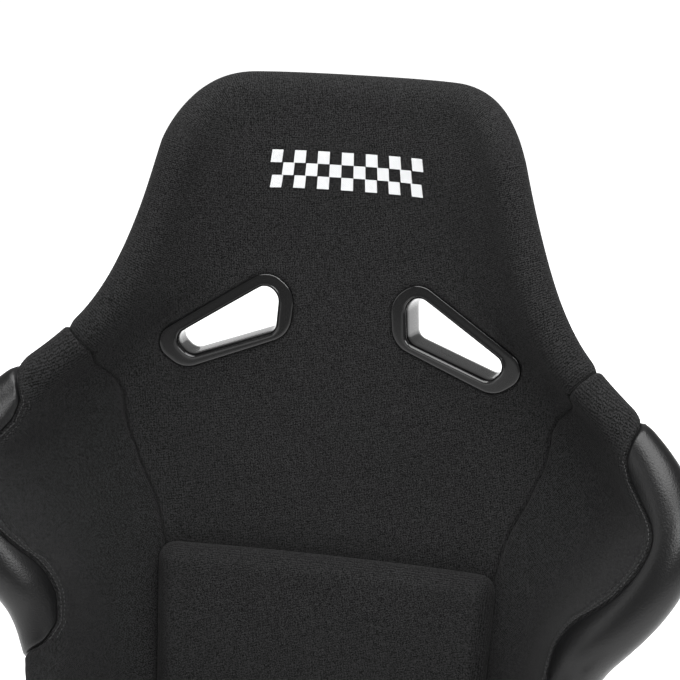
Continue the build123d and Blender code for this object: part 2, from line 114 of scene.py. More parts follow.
# ---- bezels: centre and facing, then corners in their own plane with a radius each ---------------
SHOULDER_PLACE = ((88, 354, 722), (-0.12, -0.978, 0.17))
SHOULDER_FLANGE = [(-28, 46, 19), (-50, 29, 22), (-47, -7.5, 22), (38, -40, 20), (70, -17, 15)]
SHOULDER_OPENING = [(-27, 34, 9.5), (-37, 24, 12), (-35, -4.5, 9), (33, -28.5, 9), (48, -14, 9)]
LAP_PLACE = ((188, 137, 189), (-0.97, -0.22, 0.06))
LAP_FLANGE = [(48, 25, 18), (-48, 25, 18), (-48, -25, 18), (48, -25, 18)]
LAP_OPENING = [(36, 14, 12), (-36, 14, 12), (-36, -14, 12), (36, -14, 12)]
STRAP_PLACE = ((0, -38.8, 81), (0, 0.254, 0.967))
STRAP_FLANGE = [(46, 27, 18), (-46, 27, 18), (-46, -27, 18), (46, -27, 18)]
STRAP_OPENING = [(33, 15, 12), (-33, 15, 12), (-33, -15, 12), (33, -15, 12)]

SLEEVE_BACK = -33                      # how far the sleeves reach behind the bezel's plane
# Rings of a bezel's section: growth of the outline, height over the bezel's plane.
FLANGE_RINGS = [
    (-3.0, -1.2), (0.0, -1.2), (0.0, 1.4), (-0.35, 2.3), (-1.0, 2.75), (-1.9, 2.85), (-3.2, 2.85),
]
LIP_RINGS = [(3.6, 2.85), (2.5, 2.85), (2.2, 3.2), (1.7, 3.25), (0.4, 2.0), (0.1, 1.5), (0.3, 1.0)]
SLEEVE_RINGS = [
    (1.2, 0.3), (1.5, -1.6), (0.3, -3.0), (0.0, -3.6), (-0.3, SLEEVE_BACK + 0.8), (0.3, SLEEVE_BACK),
    (1.6, SLEEVE_BACK), (2.0, SLEEVE_BACK + 0.6), (2.0, -1.2),
]

# ---- stitches and trim -----------------------------------------------------------------------------
THREAD_RADIUS = 0.42
STITCH_ARCH = (-0.4, 0.3, 0.5, 0.3, -0.4)      # height over the cover along one stitch
HEM_BEAD_RADIUS = 2.4

# ---- mesh of the cover ----------------------------------------------------------------------------
COVER_THICK = 1.6
WELD_DISTANCE = 0.05
SEAM_COLUMNS = (0, 0.7, 1.4, 2.3, 3.4, 4.7, 5.5, 6.2, 6.9, 7.8, 9.6)   # columns from a seam inward
SEAM_ROWS = (0.9, 1.9, 3.1, 4.6, 6.6)          # extra rows from a seam inward
EDGE_COLUMNS = 15                              # columns over a rolled edge
BACK_ACROSS, BOLSTER_ACROSS, PATCH_ACROSS = 380, 260, 70    # cloth widths that set the columns
BASE_ACROSS, THIGH_ACROSS, THIGH_ROLL = 200, 260, 55
THIGH_PANEL = 230

# ---- cushions ------------------------------------------------------------------------------------
PAD_BACK, PAD_THICK = 23.9, 27
# Half width, start and end along the centre line.
BACK_PAD = (146, 185, 564)
SEAT_PAD = (150, -325, 72)
CUSHION_INSET = 1.0                    # the outline inside the cushion's full size
CUSHION_CORNER = 16.0
CUSHION_COLUMNS, CUSHION_ROW = 73, 4.2
CUSHION_CROWDING = (0.82, 0.85)        # powers that crowd the mesh towards the edges
CUSHION_BULGE = 0.9
CUTTER_SPAN = (-30, 90)                # the strap opening's cutter, from its plane


# ---- sizes and colours a user would change -------------------------------------------------------
class SeatSizes(bpy.types.PropertyGroup):
    seam_depth: bpy.props.FloatProperty(
        name="Seam depth", description="How far the cover dips at a seam",
        default=0.0024, unit="LENGTH")
    seam_width: bpy.props.FloatProperty(
        name="Seam width", description="Half width of that dip",
        default=0.0013, unit="LENGTH")
    row_depth: bpy.props.FloatProperty(
        name="Row depth", description="How far a row of stitches pulls the cover in",
        default=0.00115, unit="LENGTH")
    row_width: bpy.props.FloatProperty(
        name="Row width", description="Half width of that dip",
        default=0.0011, unit="LENGTH")
    mesh_pitch: bpy.props.FloatProperty(
        name="Mesh pitch", description="Spacing of the cover's mesh",
        default=0.005, unit="LENGTH")
    stitch_pitch: bpy.props.FloatProperty(
        name="Stitch pitch", description="Distance between stitches",
        default=0.0034, unit="LENGTH")
    stitch_length: bpy.props.FloatProperty(
        name="Stitch length", description="Length of one stitch",
        default=0.0023, unit="LENGTH")
    press_width: bpy.props.FloatProperty(
        name="Press width", description="Reach of the dip round a bezel",
        default=0.011, unit="LENGTH")
    pad_edge: bpy.props.FloatProperty(
        name="Cushion edge", description="Radius of the loose cushions' edges",
        default=0.014, unit="LENGTH")
    pad_crown: bpy.props.FloatProperty(
        name="Cushion crown", description="Rise in the middle of the loose cushions",
        default=0.004, unit="LENGTH")


class SeatColours(bpy.types.PropertyGroup):
    fabric: bpy.props.FloatVectorProperty(
        name="Fabric", description="Woven cover fabric",
        default=(0.0068, 0.0068, 0.0069), subtype="COLOR", min=0, max=1)
    leather: bpy.props.FloatVectorProperty(
        name="Leather", description="Wing and thigh patches",
        default=(0.004, 0.004, 0.0042), subtype="COLOR", min=0, max=1)
    plastic: bpy.props.FloatVectorProperty(
        name="Plastic", description="Moulded bezels",
        default=(0.0016, 0.0016, 0.0017), subtype="COLOR", min=0, max=1)
    shell: bpy.props.FloatVectorProperty(
        name="Shell", description="Gelcoat of the moulded shell",
        default=(0.008, 0.008, 0.009), subtype="COLOR", min=0, max=1)
    thread: bpy.props.FloatVectorProperty(
        name="Thread", description="Stitching",
        default=(0.018, 0.018, 0.0184), subtype="COLOR", min=0, max=1)
    mark: bpy.props.FloatVectorProperty(
        name="Mark", description="Embroidered band on the head",
        default=(0.78, 0.79, 0.80), subtype="COLOR", min=0, max=1)
    steel: bpy.props.FloatVectorProperty(
        name="Bracket", description="Powder coat of the side brackets",
        default=(0.02, 0.02, 0.021), subtype="COLOR", min=0, max=1)


def size(name):
    """One of the seat's sizes, in millimetres."""
    return getattr(bpy.context.scene.seat_sizes, name) / MM


def colours():
    return bpy.context.scene.seat_colours


# ---- the face as a formula -----------------------------------------------------------------------
def natural_spline(places, values):
    """A smooth curve through the given values, for whole arrays of places."""
    x, y = np.array(places, float), np.array(values, float)
    step, count = np.diff(x), len(x)
    matrix, right = np.eye(count), np.zeros(count)
    for i in range(1, count - 1):
        matrix[i, i - 1:i + 2] = step[i - 1], 2 * (step[i - 1] + step[i]), step[i]
        right[i] = 6 * ((y[i + 1] - y[i]) / step[i] - (y[i] - y[i - 1]) / step[i - 1])
    bend = np.linalg.solve(matrix, right)

    def curve(at):
        i = np.clip(np.searchsorted(x, at) - 1, 0, count - 2)
        a, b, h = x[i + 1] - at, at - x[i], step[i]
        cubic = (bend[i] * a ** 3 + bend[i + 1] * b ** 3) / (6 * h)
        return cubic + (y[i] / h - bend[i] * h / 6) * a + (y[i + 1] / h - bend[i + 1] * h / 6) * b
    return curve


LINE_Y, LINE_Z = [natural_spline([p[0] for p in CENTRE_LINE], [p[k] for p in CENTRE_LINE]) for k in (1, 2)]
DEPTH, LEAN, WIDTH, BOX = [natural_spline([p[0] for p in SECTIONS], [p[k] for p in SECTIONS])
                           for k in (1, 2, 3, 4)]


def wing(s):
    """How much a place along the seat belongs to the wings' thick edge, from 0 to 1."""
    return smooth((s - 430) / 110) * smooth((742 - s) / 75)


def edge_radius(s):
    return EDGE_RADIUS + WING_EXTRA * wing(s)


def unit(v):
    return v / np.maximum(np.linalg.norm(v, axis=-1, keepdims=True), 1e-12)


def smooth(t):
    t = np.clip(t, 0, 1)
    return t * t * (3 - 2 * t)


def shell_points(u, s):
    """Points of the shell's inner face: u from -1 to 1 across it, s along its centre line."""
    u, s = np.broadcast_arrays(np.asarray(u, float), np.asarray(s, float))
    share, box = np.abs(u), np.clip(BOX(s), 0, 1)
    out, forward = np.zeros_like(share), np.zeros_like(share)
    for k, (soft, boxy) in enumerate(zip(SOFT_SIDE, BOXY_SIDE)):
        weight = comb(5, k) * share ** k * (1 - share) ** (5 - k)
        out = out + weight * (soft[0] * (1 - box) + boxy[0] * box)
        forward = forward + weight * (soft[1] * (1 - box) + boxy[1] * box)
    reach, lean = forward * (DEPTH(s) - WING_BACK * wing(s)), np.radians(LEAN(s))
    return np.stack([np.sign(u) * out * (WIDTH(s) - WING_IN * wing(s)), LINE_Y(s) - reach * np.cos(lean),
                     LINE_Z(s) + reach * np.sin(lean)], -1)


def face_directions(u, s):
    """Unit directions on the face: along it, and out of it towards the driver."""
    across = shell_points(np.clip(u + 0.001, -1, 1), s) - shell_points(np.clip(u - 0.001, -1, 1), s)
    along = shell_points(u, s + 0.5) - shell_points(u, s - 0.5)
    return unit(along), unit(np.cross(across, along))


def padding(u, s):
    """Thickness of foam and cover, thinner towards the shell's edges and ends."""
    side = smooth((np.abs(u) - 0.6) / 0.4)
    end = smooth(1 - (top_end(u) - s) / END_EASE) + smooth(1 - (s - front_end(u)) / END_EASE)
    radius = edge_radius(s)
    return radius + (PADDING - radius) * (1 - side) * (1 - np.clip(end, 0, 1))


def top_end(u):
    t = np.clip(np.abs(u) - HEAD_FLAT, 0, None) / (1 - HEAD_FLAT) * 0.97
    return TOP - HEAD_CORNER * (1 - np.sqrt(1 - np.clip(t, 0, 0.97) ** 2))


def front_end(u):
    t = np.clip(np.abs(u) - 0.6, 0, None) / 0.4 * 0.97
    return FRONT + FRONT_CORNER * (1 - np.sqrt(1 - np.clip(t, 0, 0.97) ** 2))


def edge_profile(run, radius):
    """Outline of the rolled edge before it is eased: out and forward of the shell's edge, for lengths
    along it that are negative on the face and positive beyond the edge."""
    share = np.clip(run / (radius * np.radians(ROLL_TURN)), 0, 1)
    turn = np.radians(ROLL_TURN) * share
    reach = radius + (HEM_RADIUS - radius) * smooth((share - 0.45) / 0.55)
    return np.stack([np.sin(turn) * reach + np.minimum(run, 0), np.cos(turn) * reach], -1)


def eased_profile(run, radius):
    """The same outline with its bend spread out to both sides, so that it starts gradually."""
    length = radius * np.radians(ROLL_TURN)
    reach = EASE * radius / EDGE_RADIUS * np.clip(1 - run / length, 0, 1)
    spread = np.linspace(-1, 1, 17) * reach[..., None]
    weight = np.cos(np.linspace(-1, 1, 17) * pi / 2) ** 2
    moved = edge_profile(run[..., None] + spread, np.broadcast_to(radius, run.shape)[..., None])
    return (moved * weight[:, None]).sum(-2) / weight.sum()


def round_edge(edge, normal, out, share, radius):
    """Points of the padding rolled round an edge, for a share from 0 to 1 of its turn, and their normals."""
    run = share * radius * np.radians(ROLL_TURN)
    flat = eased_profile(run, radius)
    step = unit(eased_profile(run + 0.2, radius) - eased_profile(run - 0.2, radius))
    direction = step[..., :1] * normal - step[..., 1:] * out
    return edge + flat[..., :1] * out + flat[..., 1:] * normal, direction


def cover_points(a, s, ease=True):
    """Cover over the shell: a is the side share up to 1 and goes on round the edge to ROLL_END."""
    a, s = np.broadcast_arrays(np.asarray(a, float), np.asarray(s, float))
    u = np.clip(a, -1, 1)
    along, normal = face_directions(u, s)
    flat = shell_points(u, s) + padding(u, s)[..., None] * normal
    out = unit(np.cross(along, normal)) * np.sign(a + 1e-9)[..., None]
    rolled, direction = round_edge(shell_points(u, s), normal, out,
                                   np.clip((np.abs(a) - 1) / ROLL_SHARE, 0, 1), edge_radius(s))
    near = ease & ((np.abs(a) > 0.8) | (s > TOP - 90) | (s < FRONT + 90)) & (np.abs(a) <= 1)
    if near.any():
        flat[near] = eased_rim(flat[near])
    beyond = (np.abs(a) > 1)[..., None]
    return np.where(beyond, rolled, flat), np.where(beyond, direction, normal)


def edge_strip(us, ss, columns=EDGE_COLUMNS):
    """Padding rolled round the shell's end along a line of edge places, as a grid of points."""
    edge = shell_points(us, ss)
    _, normal = face_directions(us, ss)
    tangent = unit(np.gradient(edge, axis=0))
    out = unit(np.cross(tangent, normal))
    middle = len(us) // 2
    inward = shell_points(us[middle] * 0.9, ss[middle] * 0.98) - edge[middle]
    if np.dot(out[middle], inward) > 0:
        out = -out
    share = np.repeat(np.linspace(0, 1, columns)[None, :], len(us), 0)
    radius = np.broadcast_to(edge_radius(ss)[:, None], share.shape)
    return round_edge(edge[:, None], normal[:, None], out[:, None], share, radius)


def rim_loop():
    """Places just over the shell's edge all the way round: point, out and forward directions."""
    s = np.linspace(front_end(1.0), top_end(1.0), 900)
    u = np.linspace(1, -1, 360)[1:-1]
    us = np.concatenate([np.ones(900), u, -np.ones(900), -u])
    ss = np.concatenate([s, top_end(u), s[::-1], front_end(u)])
    edge = shell_points(us, ss)
    _, normal = face_directions(us, ss)
    out = unit(np.cross(np.roll(edge, -2, 0) - np.roll(edge, 2, 0), normal))
    radius = edge_radius(ss)
    return edge + radius[:, None] * normal, out, normal, radius


def point_tree(points):
    tree = KDTree(len(points))
    for i, point in enumerate(points):
        tree.insert(point, i)
    tree.balance()
    return tree


def closest(tree, points):
    """Index of and distance to the nearest point of a tree, for each point."""
    found = [tree.find(point)[1:] for point in points]
    return np.array([f[0] for f in found], int), np.array([f[1] for f in found])


RIM_POINTS, RIM_OUT, RIM_NORMAL, RIM_RADIUS = rim_loop()
RIM_TREE = point_tree(RIM_POINTS)


def eased_rim(points):
    """Face points moved so that the bend of the rolled edge sets in gradually."""
    which, distance = closest(RIM_TREE, points)
    shift = eased_profile(-distance, RIM_RADIUS[which]) - edge_profile(-distance, RIM_RADIUS[which])
    return points + shift[:, :1] * RIM_OUT[which] + shift[:, 1:] * RIM_NORMAL[which]


def seam_share(seam, s):
    return np.interp(s, [p[0] for p in seam], [p[1] for p in seam])


# ---- outlines and planes -------------------------------------------------------------------------
def place_plane(place):
    """Origin, across, up and facing directions of a bezel's plane on the +X side."""
    centre, facing = np.array(place[0], float), unit(np.array(place[1], float))
    across = np.array([1.0, 0, 0]) if abs(facing[0]) < 0.7 else np.array([0, -1.0, 0])
    across = unit(across - facing * (across @ facing))
    return centre, across, np.cross(facing, across), facing


def rounded_outline(corners, grow=0.0, arc=10):
    """Closed outline with arcs at its corners, moved outward by grow; the same count for any grow."""
    points = np.array([c[:2] for c in corners], float)
    area = sum(points[i - 1][0] * points[i][1] - points[i][0] * points[i - 1][1]
               for i in range(len(points)))
    outline = []
    for i, (x, y, radius) in enumerate(corners):
        here, before = points[i], points[i - 1]
        after = points[(i + 1) % len(points)]
        d_in, d_out = unit(here - before), unit(after - here)
        turn = np.sign(area)
        n_in = turn * np.array([d_in[1], -d_in[0]])
        n_out = turn * np.array([d_out[1], -d_out[0]])
        half = np.arccos(np.clip(n_in @ n_out, -1, 1)) / 2
        centre = here - unit(n_in + n_out) * radius / np.cos(half)
        r = max(radius + grow, 0.2)
        for t in np.linspace(0, 1, arc):
            direction = unit(n_in * np.sin((1 - t) * 2 * half) + n_out * np.sin(t * 2 * half))
            outline.append(centre + direction * (r + (radius + grow - r)))
    return np.array(outline)


def outline_distance(points, outline):
    """Distance from each 2-D point to a closed outline, negative inside, and the outline's closest points."""
    a, b = outline, np.roll(outline, -1, 0)
    ab = b - a
    t = np.clip(((points[:, None] - a) * ab).sum(-1) / np.maximum((ab ** 2).sum(-1), 1e-9), 0, 1)
    touch = a + t[..., None] * ab
    gap = np.linalg.norm(points[:, None] - touch, axis=-1)
    best = gap.argmin(1)
    rows = np.arange(len(points))
    y0, y1 = a[:, 1], b[:, 1]
    crosses = (y0 > points[:, 1, None]) != (y1 > points[:, 1, None])
    at = a[:, 0] + (points[:, 1, None] - y0) / np.where(y1 == y0, 1e-9, y1 - y0) * (b[:, 0] - a[:, 0])
    inside = (crosses & (points[:, 0, None] < at)).sum(1) % 2 == 1
    return np.where(inside, -1, 1) * gap[rows, best], touch[rows, best]


# ---- how seams and bezels shape the cover --------------------------------------------------------
def seam_lines():
    """Points along every seam of the +X side, and the middle ones."""
    lines = []
    for seam in (SHOULDER_SEAM, WING_SEAM, THIGH_SEAM):
        s = np.linspace(seam[0][0], seam[-1][0], 1600)
        lines.append(cover_points(seam_share(seam, s), s)[0])
    lines.append(cover_points(np.linspace(1, ROLL_END, 160), np.full(160, float(HEAD_JOIN)))[0])
    lines.append(cover_points(np.linspace(-BASE_SEAM, BASE_SEAM, 500), np.full(500, float(BITE)))[0])
    lines.append(cover_points(np.linspace(BASE_SEAM, ROLL_END, 600), np.full(600, float(BITE)))[0])
    s = np.linspace(FRONT, BITE, 1200)
    lines.append(cover_points(np.full(1200, BASE_SEAM), s)[0])
    strip, _ = edge_strip(BASE_SEAM + np.array([-0.01, 0, 0.01]), np.full(3, FRONT), 120)
    lines.append(strip[1])
    return np.concatenate(lines)


SEAMS = seam_lines()
BEZELS = [(place_plane(SHOULDER_PLACE), SHOULDER_FLANGE), (place_plane(LAP_PLACE), LAP_FLANGE),
          (place_plane(STRAP_PLACE), STRAP_FLANGE)]
UNDER_FLANGE = 4.5                     # how far the cover reaches in under a flange
BEZEL_REACH, BEZEL_DEPTH = 110, 30     # the cover that a bezel can press on: round it and off its plane
BEZEL_BED, BEZEL_RISE = -1.2, 2.4      # the cover's height under a flange, and its rise at the rim


def inside_seam(seam, side, inward, s_from, s_to, count=320):
    """Places on the cover a given distance inside a seam: points, normals."""
    s = np.linspace(s_from, s_to, count)
    a = seam_share(seam, s)
    here, normal = cover_points(a * side, s)
    sideways = unit(np.cross(normal, unit(np.gradient(here, axis=0))))
    step = 0.01
    inner, _ = cover_points((a - step) * side, s)
    per_share = np.linalg.norm(inner - here, axis=-1) / step
    slope = np.abs((sideways * unit(inner - here)).sum(-1))
    return cover_points((a - inward / per_share / np.clip(slope, 0.35, 1)) * side, s)


STITCHED = ((WING_SEAM, (470, 708), "wing"), (THIGH_SEAM, (-345, 64), "thigh"))
STITCH_ROWS = (1.7, 6.2)
SEAM_TREE = point_tree(SEAMS)
STITCH_TREE = point_tree(np.concatenate([inside_seam(seam, 1, STITCH_ROWS[1], *span, count=900)[0]
                                         for seam, span, _ in STITCHED]))


def shaped(points, normals):
    """The cover's points after its seams pull in and its bezels press on it; says which are cut away."""
    flat, facing = points.reshape(-1, 3).copy(), normals.reshape(-1, 3)
    mirror = np.where(flat[:, :1] < 0, -1, 1) * np.array([[1, 0, 0]]) + np.array([[0, 1, 1]])
    local = flat * mirror
    dip = size("seam_depth") * np.exp(-(closest(SEAM_TREE, local)[1] / size("seam_width")) ** 2)
    dip += size("row_depth") * np.exp(-(closest(STITCH_TREE, local)[1] / size("row_width")) ** 2)
    flat = flat - facing * dip[:, None]
    cut = np.zeros(len(flat), bool)
    for (centre, across, up, front), flange in BEZELS:
        local = flat * mirror - centre
        near = np.linalg.norm(local, axis=1) < BEZEL_REACH
        if not near.any():
            continue
        q = local[near]
        height = q @ front
        flat_place = np.stack([q @ across, q @ up], -1)
        distance, touch = outline_distance(flat_place, rounded_outline(flange))
        distance = np.where(np.abs(height) > BEZEL_DEPTH, BEZEL_REACH, distance)
        target = BEZEL_BED + BEZEL_RISE * smooth((distance + 2.5) / 4)
        pull = np.exp(-(np.clip(distance, 0, None) / size("press_width")) ** 2)
        slide = np.where(distance < -UNDER_FLANGE, 1 + UNDER_FLANGE / np.minimum(distance, -1e-6), 0)
        step = (touch - flat_place) * slide[:, None]
        move = ((target - height) * pull)[:, None] * front + step[:, :1] * across + step[:, 1:] * up
        flat[near] += move * mirror[near]
        cut[near] |= distance < -UNDER_FLANGE
    return flat.reshape(points.shape), cut.reshape(points.shape[:-1])


# ---- meshes --------------------------------------------------------------------------------------
def add_mesh(name, vertices, faces, material, uvs=None, smooth_faces=True):
    """New object from points in millimetres."""
    mesh = bpy.data.meshes.new(name)
    mesh.from_pydata([tuple(v) for v in np.asarray(vertices) * MM], [], faces)
    if uvs is not None:
        layer = mesh.uv_layers.new(name="cloth")
        index = np.zeros(len(mesh.loops), int)
        mesh.loops.foreach_get("vertex_index", index)
        layer.data.foreach_set("uv", np.asarray(uvs, np.float32)[index].ravel())
    mesh.polygons.foreach_set("use_smooth", [smooth_faces] * len(mesh.polygons))
    mesh.materials.append(material)
    obj = bpy.data.objects.new(name, mesh)
    bpy.context.scene.collection.objects.link(obj)
    return obj


def grid_faces(rows, columns, start=0, flip=False, keep=None, wrap=False):
    """Quads of a grid of vertices; wrap joins its last column to its first."""
    faces = []
    for i in range(rows - 1):
        for j in range(columns if wrap else columns - 1):
            k = (j + 1) % columns
            face = (i * columns + j, i * columns + k, (i + 1) * columns + k, (i + 1) * columns + j)
            if keep is None or keep(face):
                faces.append(tuple(start + v for v in (face[::-1] if flip else face)))
    return faces


class Sheet:
    """Grids of cover gathered into one piece, welded where they meet."""

    def __init__(self):
        self.points, self.uvs, self.faces, self.count = [], [], [], 0

    def add(self, points, normals, uv, flip=False):
        rows, columns = points.shape[:2]
        moved, cut = shaped(points, normals)
        flags = cut.reshape(-1)
        self.faces += grid_faces(rows, columns, self.count, flip, lambda f: not all(flags[v] for v in f))
        self.points.append(moved.reshape(-1, 3))
        self.uvs.append(uv.reshape(-1, 2))
        self.count += rows * columns

    def make(self, name, material, stands_for):
        obj = add_mesh(name, np.concatenate(self.points), self.faces, material, np.concatenate(self.uvs))
        weld = obj.modifiers.new("weld", "WELD")
        weld.merge_threshold = WELD_DISTANCE * MM
        divide = obj.modifiers.new("smooth", "SUBSURF")
        divide.levels = divide.render_levels = 1
        thick = obj.modifiers.new("thickness", "SOLIDIFY")
        thick.thickness = COVER_THICK * MM
        thick.offset = -1
        apply_modifiers(obj)
        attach(obj, "seat")
        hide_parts(*stands_for)


def apply_modifiers(obj):
    """Swap the object's mesh for what its modifiers make of it."""
    graph = bpy.context.evaluated_depsgraph_get()
    made = bpy.data.meshes.new_from_object(obj.evaluated_get(graph))
    obj.modifiers.clear()
    obj.data = made


def smooth_once(obj):
    """One level of subdivision, kept in the mesh."""
    divide = obj.modifiers.new("smooth", "SUBSURF")
    divide.levels = divide.render_levels = 1
    apply_modifiers(obj)


def edge_columns(length, pitch):
    """Places from 0 to 1 over a length, closer together near both ends, for crisp seams."""
    near = np.array(SEAM_COLUMNS)
    middle = max(int((length - 2 * near[-1]) / pitch), 2)
    inner = np.linspace(near[-1], length - near[-1], middle + 1)[1:-1]
    return np.concatenate([near, inner, length - near[::-1]]) / length


def cover_rows(a_low, a_high, s_rows, shares, side=1):
    """Grid of cover places: one row per s, from a_low to a_high, spaced by even length."""
    fine = np.linspace(0, 1, 161)
    a_grid = a_low[:, None] + (a_high - a_low)[:, None] * fine
    points, _ = cover_points(a_grid, s_rows[:, None], ease=False)
    run = np.concatenate([np.zeros((len(s_rows), 1)),
                          np.cumsum(np.linalg.norm(np.diff(points, axis=1), axis=-1), 1)], 1)
    a = np.stack([np.interp(shares * run[i, -1], run[i], a_grid[i]) for i in range(len(s_rows))])
    return a * side


def cloth_uv(points, s, centred=False, turn=0.0):
    """Flat cloth coordinates in metres: true length along each row, and the length along the seat."""
    step = np.linalg.norm(np.diff(points, axis=1), axis=-1)
    run = np.concatenate([np.zeros((len(points), 1)), np.cumsum(step, 1)], 1)
    run = run - run[:, -1:] / 2 if centred else run + np.abs(points[:, :1, 0])
    s = np.broadcast_to(s, run.shape)
    angle = np.radians(turn)
    return np.stack([run * np.cos(angle) - s * np.sin(angle), run * np.sin(angle) + s * np.cos(angle)],
                    -1) * MM


def spaced(start, end, pitch, ends=(True, True)):
    """Rows from start to end, with close rows at the ends that carry a seam."""
    low = start + np.array([0, *SEAM_ROWS] if ends[0] else [0])
    high = end - np.array([*SEAM_ROWS[::-1], 0] if ends[1] else [0])
    count = max(int((end - start) / pitch), 3)
    inner = np.linspace(low[-1], high[0], count + 1)[1:-1]
    return np.concatenate([low, inner, high])


# ---- shader node groups --------------------------------------------------------------------------
class Nodes:
    """Short way to add and join shader nodes in one tree."""

    def __init__(self, tree):
        self.tree = tree

    def add(self, kind, inputs=None, **settings):
        node = self.tree.nodes.new(kind)
        for key, value in settings.items():
            setattr(node, key, value)
        for key, value in (inputs or {}).items():
            self.put(node.inputs[key], value)
        return node

    def put(self, socket, value):
        if isinstance(value, bpy.types.NodeSocket):
            self.tree.links.new(value, socket)
        else:
            socket.default_value = value

    def math(self, operation, a, b=0.0):
        return self.add("ShaderNodeMath", {0: a, 1: b}, operation=operation).outputs[0]

    def mix(self, factor, a, b):
        node = self.add("ShaderNodeMix", data_type="RGBA")
        self.put(node.inputs[0], factor)
        self.put(node.inputs[6], a)
        self.put(node.inputs[7], b)
        return node.outputs[2]

    def noise(self, vector, scale, detail=3.0, rough=0.55):
        return self.add("ShaderNodeTexNoise", {"Vector": vector, "Scale": scale, "Detail": detail,
                                               "Roughness": rough}).outputs["Fac"]


def new_group(name, inputs, outputs):
    """Empty shader group with named sockets: the group, its nodes, what it is given and what it puts out."""
    group = bpy.data.node_groups.new(name, "ShaderNodeTree")
    for key, kind, value in inputs:
        socket = group.interface.new_socket(name=key, in_out="INPUT", socket_type=kind)
        if value is not None:
            socket.default_value = value
    for key, kind in outputs:
        group.interface.new_socket(name=key, in_out="OUTPUT", socket_type=kind)
    nodes = Nodes(group)
    return group, nodes, nodes.add("NodeGroupInput").outputs, nodes.add("NodeGroupOutput").inputs


def woven_group():
    """Twill weave with slubs and lint: a mask of thread tops, a height and a slow shade."""
    group, n, given, out = new_group(
        "Woven Cloth",
        [("Vector", "NodeSocketVector", None), ("Place", "NodeSocketVector", None),
         ("Pitch", "NodeSocketFloat", 0.0027)],
        [("Threads", "NodeSocketFloat"), ("Height", "NodeSocketFloat"), ("Shade", "NodeSocketFloat")])
    split = n.add("ShaderNodeSeparateXYZ", {0: given["Vector"]}).outputs
    turns = n.math("DIVIDE", 2 * pi, given["Pitch"])
    wander = n.math("MULTIPLY", n.noise(given["Vector"], 420.0, 2.0), 0.0022)
    x, y = n.math("ADD", split[0], wander), n.math("ADD", split[1], wander)
    rib = n.math("SINE", n.math("MULTIPLY", n.math("ADD", x, y), turns))
    warp = n.math("SINE", n.math("MULTIPLY", n.math("SUBTRACT", x, y), turns))
    weave = n.math("MULTIPLY_ADD", n.math("MULTIPLY", rib, warp), 0.5)
    weave.node.inputs[2].default_value = 0.5
    speck = n.noise(given["Place"], 820.0, 3.0, 0.8)
    threads = n.math("ADD", n.math("MULTIPLY", weave, 0.30), n.math("MULTIPLY", speck, 1.0))
    n.put(out["Threads"], threads)
    n.put(out["Height"], threads)
    n.put(out["Shade"], n.noise(given["Place"], 14.0, 3.0))
    return group


def grain_group():
    """Leather grain: rounded cells, with fine pores."""
    group, n, given, out = new_group(
        "Leather Grain", [("Vector", "NodeSocketVector", None), ("Scale", "NodeSocketFloat", 900.0)],
        [("Height", "NodeSocketFloat"), ("Shade", "NodeSocketFloat")])
    cells = n.add("ShaderNodeTexVoronoi", {"Vector": given["Vector"], "Scale": given["Scale"]},
                  feature="SMOOTH_F1").outputs["Distance"]
    pores = n.noise(given["Vector"], 2600.0, 2.0)
    n.put(out["Height"], n.math("ADD", n.math("MULTIPLY", cells, 0.8), n.math("MULTIPLY", pores, 0.25)))
    n.put(out["Shade"], n.noise(given["Vector"], 22.0, 3.0))
    return group


def mottle_group():
    """Slow mottling and fine dust for moulded, painted and cast faces."""
    group, n, given, out = new_group(
        "Mottle", [("Vector", "NodeSocketVector", None), ("Fine Scale", "NodeSocketFloat", 1800.0)],
        [("Fine", "NodeSocketFloat"), ("Slow", "NodeSocketFloat")])
    n.put(out["Fine"], n.noise(given["Vector"], given["Fine Scale"], 2.0))
    n.put(out["Slow"], n.noise(given["Vector"], 18.0, 4.0))
    return group


GROUP_MAKERS = {"woven": woven_group, "grain": grain_group, "mottle": mottle_group}
GROUPS = {}


def shared_group(name):
    """The named node group, built when it is first asked for."""
    if name not in GROUPS:
        GROUPS[name] = GROUP_MAKERS[name]()
    return GROUPS[name]


def new_material(name, roughness, **sockets):
    """Material with a Principled shader whose plain values are set on its own sockets."""
    material = bpy.data.materials.new(name)
    material.use_nodes = True
    material.node_tree.nodes.clear()
    n = Nodes(material.node_tree)
    shader = n.add("ShaderNodeBsdfPrincipled", {"Roughness": roughness})
    for key, value in sockets.items():
        shader.inputs[key.replace("_", " ")].default_value = value
    end = n.add("ShaderNodeOutputMaterial")
    n.put(end.inputs["Surface"], shader.outputs[0])
    return material, n, shader


def tint(colour, times):
    return (*[min(c * times, 1) for c in colour], 1)


def bump(n, shader, height, strength, distance):
    node = n.add("ShaderNodeBump", {"Height": height, "Strength": strength, "Distance": distance})
    n.put(shader.inputs["Normal"], node.outputs[0])


